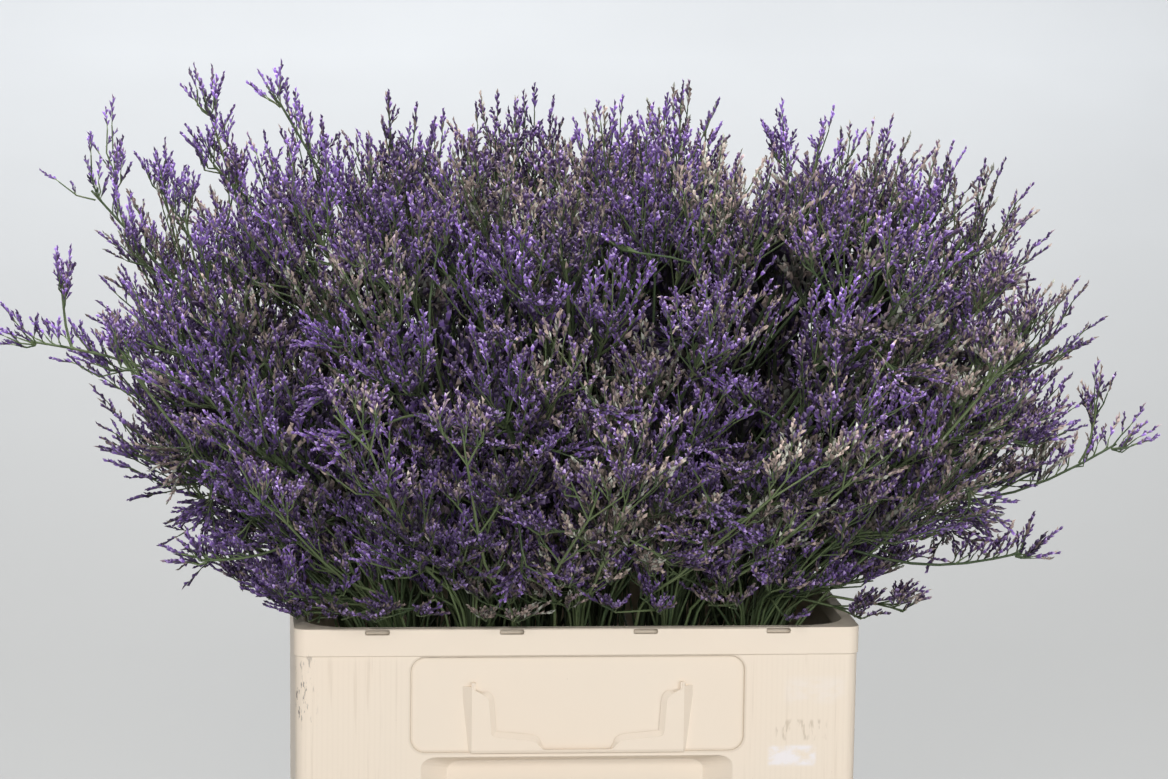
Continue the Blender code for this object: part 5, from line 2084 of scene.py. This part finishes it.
def plastic_group():
    """Moulded plastic after years of use: faint ribs, dirt, scuffs and old label residue, with
    painted shade in the panel's groove and the rim's slots, and darker towards the bottom inside.
    """
    tree, n, paint, result = shader_group("Used Plastic", ("Cream", "Grime", "Residue"))
    cream, grime_and_shade = paint["Cream"], paint["Grime"]
    place = n.place()
    x, y, z = n.split(place)
    far_x, far_y = n.maths("ABSOLUTE", x), n.maths("ABSOLUTE", y)
    broad = n.noise(place, *BROAD_NOISE)
    warmer = n.mix(n.span(broad, *BROAD_BAND), cream, WARM_PLASTIC)
    colour = n.mix(WARM_SHARE, cream, warmer)
    outer = n.times(
        n.span(far_x, *BESIDE_PANEL), n.span(z, *BELOW_RIM), n.span(z, *ABOVE_FOOT)
    )
    ribs = n.maths("SINE", n.times(x, math.tau / RIB_PITCH))
    ribbed = n.times(n.span(ribs, *RIB_BAND), outer)
    # The ribs painted as faint darker stripes
    colour = n.mix(n.times(ribbed, RIB_DARKENING), colour, grime_and_shade)
    upright = n.noise(place, RUB_SCALES)
    rubbed = n.times(n.span(upright, *RUB_BAND), outer)
    colour = n.mix(n.times(rubbed, RUB_GRIME), colour, grime_and_shade)
    marks = n.times(scratch_marks(n, place, x, y, z), SCRATCH_DARKNESS)
    colour = n.mix(marks, colour, DARK_MARK)
    specks = n.span(n.noise(place, *SPECK_NOISE), *SPECK_BAND)
    colour = n.mix(n.times(specks, SPECK_GRIME), colour, grime_and_shade)
    front = n.span(y, *ON_FRONT)

    def patch(left, right, low, high, soft=LABEL_FADE):
        """A soft-edged oblong on the front wall."""
        across = n.span(x, left, left + soft), n.span(x, right, right - soft)
        return n.times(*across, n.span(z, low, low + soft), n.span(z, high, high - soft), front)

    torn = n.span(n.noise(place, *TORN_NOISE), *TORN_BAND)
    haze = n.times(patch(*HAZE_AREA, HAZE_FADE), torn, HAZE_STRENGTH)
    label = n.maths("MAXIMUM", n.times(patch(*LABEL_AREA), torn), haze)
    colour = n.mix(n.times(label, LABEL_STRENGTH), colour, paint["Residue"])
    strokes = n.span(n.noise(place, STROKE_SCALES), *STROKE_BAND)
    colour = n.mix(n.times(patch(*STROKE_AREA), strokes, STROKE_STRENGTH), colour, grime_and_shade)
    # Painted shade along the panel's rounded edge
    groove = n.times(panel_groove(n, far_x, far_y, z), GROOVE_SHADE)
    colour = n.mix(groove, colour, grime_and_shade)
    # Painted shade inside the rim's four slots
    slots = n.times(rim_slots(n, x, far_x, far_y, z), SLOT_DARKNESS)
    colour = n.mix(slots, colour, SLOT_SHADE)
    # The bucket's inside darker towards the bottom
    n.link(n.mix(inner_darkening(n, far_x, far_y, z), colour, grime_and_shade), result["Base Color"])
    rough = n.plus(
        n.span(broad, *PLASTIC_ROUGHNESS), n.times(rubbed, RUB_ROUGHNESS),
        n.times(label, LABEL_ROUGHNESS),
    )
    n.link(rough, result["Roughness"])
    fine = n.times(n.noise(place, *FINE_NOISE), FINE_HEIGHT)
    height = n.plus(
        n.times(ribbed, RIB_HEIGHT), fine, n.times(rubbed, RUB_HEIGHT),
        n.times(label, LABEL_HEIGHT),
    )
    n.link(height, result["Bump Height"])
    return tree


def made_material(name, group, colours, bump, distance, specular):
    """A Principled material whose colour, roughness and bump come from a group."""
    material = bpy.data.materials.new(name)
    material.use_nodes = True
    tree = material.node_tree
    shader = tree.nodes["Principled BSDF"]
    source = tree.nodes.new("ShaderNodeGroup")
    source.node_tree = group
    for label, colour in colours.items():
        source.inputs[label].default_value = (*colour, 1.0)
    relief = tree.nodes.new("ShaderNodeBump")
    relief.inputs["Strength"].default_value = bump
    relief.inputs["Distance"].default_value = distance
    shader.inputs["Specular IOR Level"].default_value = specular
    for label in ("Base Color", "Roughness"):
        tree.links.new(source.outputs[label], shader.inputs[label])
    tree.links.new(source.outputs["Bump Height"], relief.inputs["Height"])
    tree.links.new(relief.outputs["Normal"], shader.inputs["Normal"])
    return material


# Properties


def length_of(name, description, default, low, high):
    """A property with a length in metres."""
    return FloatProperty(
        name=name, description=description, default=default, min=low, max=high, unit="LENGTH"
    )


def count_of(name, description, default, low, high):
    """A property with a whole number."""
    return IntProperty(name=name, description=description, default=default, min=low, max=high)


def colour_of(name, description, *picked):
    """A property with a colour picked in sRGB steps."""
    return FloatVectorProperty(
        name=name, description=description, default=linear(*picked), subtype="COLOR", size=3,
        min=0.0, max=1.0,
    )


class StaticeSizes(PropertyGroup):
    """Sizes and counts of the statice's fine growth."""

    spikelet_length: length_of(
        "Spikelet length", "Length of one spikelet of florets", 0.0190, 0.008, 0.03
    )
    floret_length: length_of(
        "Floret length", "Length of one floret from its foot to its tip", 0.0064, 0.002, 0.01
    )
    floret_width: length_of("Floret width", "Widest part of one floret", 0.0032, 0.001, 0.005)
    florets: count_of("Florets", "Florets on a spikelet of the outer bunch", 7, 4, 14)
    plain_florets: count_of(
        "Inner florets", "Larger florets on a spikelet inside the bunch", 4, 2, 8
    )
    spikelet_kinds: count_of("Spikelet kinds", "Different spikelets that are repeated", 9, 1, 20)
    spikelets_per_spray: count_of(
        "Spikelets on a spray", "Spikelets on each twig of a head", 5, 2, 10
    )
    twigs_per_branch: count_of(
        "Side twigs", "Side twigs on the outer part of each branch", 2, 0, 8
    )
    rim_shoots_per_stem: count_of(
        "Rim shoots", "Short forked shoots near the bucket's rim for each stem", 3, 0, 12
    )
    sprays_per_filler: count_of(
        "Sprays on a filler", "Sprays of each extra head on the bunch's surface", 5, 1, 10
    )
    shoots_per_stem: count_of(
        "Side shoots", "Thin shoots that fill the inside of the bunch", 6, 0, 12
    )
    sprays_per_shoot: count_of(
        "Sprays on a shoot", "Sprays at the end of each side shoot", 3, 1, 8
    )
    pale_share: FloatProperty(
        name="Pale share", description="Share of the sprays that are silvery",
        default=0.16, min=0.0, max=1.0, subtype="FACTOR",
    )


class StaticeColours(PropertyGroup):
    """Colours of florets and stalks."""

    violet: colour_of("Violet", "Open florets", 140, 104, 192)
    deep_violet: colour_of("Deep violet", "Older florets", 88, 58, 116)
    lilac: colour_of("Lilac tip", "Tips of open florets", 196, 172, 222)
    tan: colour_of("Bud tan", "Dry buds and papery edges", 184, 164, 154)
    silver: colour_of("Silver", "The palest florets", 196, 198, 184)
    calyx: colour_of("Calyx", "Grey green middle of a floret", 108, 99, 103)
    green: colour_of("Green", "Stalks in the light", 108, 124, 84)
    dark_green: colour_of("Dark green", "Older stalks", 66, 84, 56)
    straw: colour_of("Straw", "Dry patches on stalks", 128, 128, 92)


class BucketLook(PropertyGroup):
    """Finish of the plastic bucket."""

    edge_round: length_of(
        "Edge round", "Radius of the small rounds on moulded edges", 0.0006, 0.0001, 0.002
    )
    cream: colour_of("Cream", "The plastic's colour", 236, 222, 204)
    # This colour also paints the shade in the panel's groove.
    grime_and_shade: colour_of("Grime", "Dust and water stains", 176, 158, 134)
    residue: colour_of("Residue", "What an old paper label left", 240, 236, 240)


class StageLook(PropertyGroup):
    """Backdrop and camera."""

    backdrop: colour_of("Backdrop", "Colour of the floor and wall", 222, 225, 228)
    camera_place: FloatVectorProperty(
        name="Camera place", description="Where the camera stands", subtype="TRANSLATION", size=3,
        default=(-0.2313, -2.6765, 0.7942), unit="LENGTH",
    )
    camera_yaw: FloatProperty(
        name="Camera yaw", description="Turn to the left in degrees", default=-5.24,
    )
    camera_pitch: FloatProperty(
        name="Camera pitch", description="Tilt down in degrees", default=7.365,
    )
    camera_roll: FloatProperty(
        name="Camera roll", description="Roll in degrees", default=0.706,
    )
    lens: FloatProperty(
        name="Lens", description="Focal length of the camera in millimetres",
        default=116.5, min=20.0, max=300.0,
    )


# Operators


class OBJECT_OT_statice_bunch(Operator):
    """Make the stalks and florets of every stem, in groups of neighbours"""

    bl_idname = "object.statice_bunch"
    bl_label = "Make the Statice"

    def execute(self, context):
        """Grow the bunch, attach each group's pieces to the root body and hide the solids they
        stand for.
        """
        sizes = context.scene.statice_sizes
        colours = context.scene.statice_colours
        flower = made_material(
            "statice_floret", floret_group(),
            {
                "Violet": colours.violet, "Deep Violet": colours.deep_violet,
                "Lilac Tip": colours.lilac, "Bud Tan": colours.tan, "Silver": colours.silver,
                "Calyx": colours.calyx, "Green": colours.green,
            },
            bump=0.25, distance=0.0002, specular=0.35,
        )
        green = made_material(
            "statice_green_stalk", stalk_group(),
            {"Green": colours.green, "Dark Green": colours.dark_green, "Straw": colours.straw},
            bump=0.4, distance=0.0003, specular=0.4,
        )
        kit = spikelet_kit(sizes)
        on_points, on_lines = spikelet_tree(), stalk_tree()
        for number, growth in enumerate(grow_bunch(sizes), start=1):
            nodes = [f"statice_stem_{stem + 1:02d}" for stem in growth.stems]
            florets = made_by_tree(
                f"statice_florets_{number}",
                spot_mesh("spots", growth.spikelets, sizes.spikelet_kinds),
                on_points, {"Kit": kit, "Material": flower},
            )
            lay_out_tones(florets.data)
            parts = []
            for name, sides, is_thick in (("stout", 4, True), ("fine", 3, False)):
                lines = [line for line in growth.lines if (line[1] > SHOOT_RADIUS) == is_thick]
                values = {"Sides": sides, "Material": green}
                parts.append(made_by_tree(name, line_mesh("lines", lines), on_lines, values))
            stalks = joined(f"statice_stalks_{number}", parts)
            stalks.data.polygons.foreach_set("use_smooth", [True] * len(stalks.data.polygons))
            for piece, slot in ((florets, "statice_flower"), (stalks, "statice_stalk")):
                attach(piece, "root")
                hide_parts(*nodes)
        clear_collection(kit)
        return {"FINISHED"}


def joined(name, things):
    """One object of several, with their attributes."""
    with bpy.context.temp_override(
        active_object=things[0], object=things[0], selected_objects=things,
        selected_editable_objects=things,
    ):
        bpy.ops.object.join()
    things[0].name = name
    things[0].data.name = name
    return things[0]


class OBJECT_OT_statice_bucket(Operator):
    """Make the bucket with its small edge rounds and worn plastic"""

    bl_idname = "object.statice_bucket"
    bl_label = "Make the Bucket"

    def execute(self, context):
        """Mould the bucket and let it stand for its solid."""
        look = context.scene.bucket_look
        bucket = bucket_mesh(look)
        plastic = made_material(
            "bucket_plastic", plastic_group(),
            {"Cream": look.cream, "Grime": look.grime_and_shade, "Residue": look.residue},
            bump=0.35, distance=0.0004, specular=0.45,
        )
        bucket.data.materials.clear()
        bucket.data.materials.append(plastic)
        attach(bucket, "root")
        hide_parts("bucket")
        return {"FINISHED"}


class OBJECT_OT_statice_stage(Operator):
    """Make the backdrop, the lights and the camera"""

    bl_idname = "object.statice_stage"
    bl_label = "Make the Stage"

    def execute(self, context):
        """Set the scene round the bunch."""
        look = context.scene.stage_look
        make_backdrop(look)
        make_lights()
        make_camera(context, look)
        return {"FINISHED"}


def make_backdrop(look):
    """A pale sheet that is the floor and curves up behind, with painted shade that darkens it
    towards the floor.
    """
    outline = [(-SHEET_HALF, 0.0), (SHEET_START, 0.0)]
    for step in range(1, SHEET_STEPS + 1):
        angle = math.radians(90.0 * step / SHEET_STEPS)
        y = SHEET_START + SHEET_RADIUS * math.sin(angle)
        outline.append((y, SHEET_RADIUS * (1.0 - math.cos(angle))))
    points = [(x, y, z - SHEET_DROP) for y, z in outline for x in (-SHEET_HALF, SHEET_HALF)]
    faces = [(first, first + 1, first + 3, first + 2) for first in range(0, len(points) - 2, 2)]
    mesh = bpy.data.meshes.new("backdrop")
    mesh.from_pydata(points, [], faces)
    mesh.polygons.foreach_set("use_smooth", [True] * len(faces))
    sheet = link_new("backdrop", mesh)
    material = bpy.data.materials.new("backdrop_paper")
    material.use_nodes = True
    n = Nodes(material.node_tree)
    shader = material.node_tree.nodes["Principled BSDF"].inputs
    place = n.place()
    darker = tuple(channel * SHEET_CLOUD_TONE for channel in look.backdrop)
    clouds = n.span(n.noise(place, SHEET_CLOUD_SCALE), *SHEET_CLOUD_BAND)
    cloudy = n.mix(clouds, tuple(look.backdrop), darker)
    # Painted shade: darker towards the floor
    low = tuple(channel * tone for channel, tone in zip(look.backdrop, SHEET_FOOT_SHADE))
    height = n.span(n.split(place)[2], *SHEET_FOOT_SPAN, smooth=False)
    n.link(n.mix(height, low, cloudy), shader["Base Color"])
    n.link(SHEET_ROUGHNESS, shader["Roughness"])
    sheet.data.materials.append(material)


def make_lights():
    """Soft lights in front, at the side, above and on the wall, and an even sky."""
    for name, place, target, power, size in (
        ("key_light", (-0.45, -3.0, 1.60), (0.0, 0.0, 0.42), 56.0, 1.0),
        ("fill_light", (1.6, -2.8, 0.55), (0.0, 0.0, 0.36), 26.0, 1.2),
        ("side_light", (-2.4, -0.2, 0.35), (-0.19, 0.0, 0.20), 6.0, 0.8),
        ("top_light", (-0.2, 0.1, 2.6), (0.0, 0.0, 0.45), 44.0, 1.2),
        ("wall_light", (0.05, 1.2, 3.2), (0.3, 3.4, 0.7), 94.0, 1.6),
    ):
        lamp = bpy.data.lights.new(name, "AREA")
        lamp.energy = power
        lamp.size = size
        thing = link_new(name, lamp)
        thing.location = place
        way = Vector(target) - thing.location
        thing.rotation_euler = way.to_track_quat("-Z", "Y").to_euler()
    world = bpy.context.scene.world or bpy.data.worlds.new("world")
    bpy.context.scene.world = world
    world.use_nodes = True
    sky = world.node_tree.nodes["Background"].inputs
    sky["Color"].default_value = SKY_COLOUR
    sky["Strength"].default_value = SKY_STRENGTH


def make_camera(context, look):
    """The camera at the photograph's angle."""
    lens = bpy.data.cameras.new("camera")
    lens.lens = look.lens
    lens.sensor_width = SENSOR_WIDTH
    camera = link_new("camera", lens)
    camera.location = look.camera_place
    turn = Matrix.Rotation(math.radians(look.camera_yaw), 3, "Z")
    turn @= Matrix.Rotation(math.radians(90.0 - look.camera_pitch), 3, "X")
    turn @= Matrix.Rotation(math.radians(look.camera_roll), 3, "Z")
    camera.rotation_euler = turn.to_euler()
    context.scene.camera = camera
    context.scene.view_settings.view_transform = "Standard"


class VIEW3D_PT_statice(Panel):
    """Lists what makes the statice"""

    bl_label = "Dried Statice"
    bl_idname = "VIEW3D_PT_statice"
    bl_space_type = "VIEW_3D"
    bl_region_type = "UI"
    bl_category = "Statice"

    def draw(self, context):
        """Show the sizes, the colours and the operators."""
        for holder in HOLDERS:
            values = getattr(context.scene, holder)
            box = self.layout.box()
            for name in values.__annotations__:
                box.prop(values, name)
        for maker in MAKERS:
            self.layout.operator(maker.bl_idname)


HOLDERS = {
    "statice_sizes": StaticeSizes,
    "statice_colours": StaticeColours,
    "bucket_look": BucketLook,
    "stage_look": StageLook,
}
MAKERS = (OBJECT_OT_statice_bucket, OBJECT_OT_statice_bunch, OBJECT_OT_statice_stage)
CLASSES = (*HOLDERS.values(), *MAKERS, VIEW3D_PT_statice)


def register():
    """Add the classes and the scene's properties."""
    for part in CLASSES:
        bpy.utils.register_class(part)
    for holder, kind in HOLDERS.items():
        setattr(bpy.types.Scene, holder, PointerProperty(type=kind))


def unregister():
    """Take the properties and the classes away."""
    for holder in HOLDERS:
        delattr(bpy.types.Scene, holder)
    for part in reversed(CLASSES):
        bpy.utils.unregister_class(part)


def main():
    """Build everything in order."""
    register()
    bpy.ops.object.statice_bucket()
    bpy.ops.object.statice_bunch()
    bpy.ops.object.statice_stage()


if __name__ == "__main__":
    main()
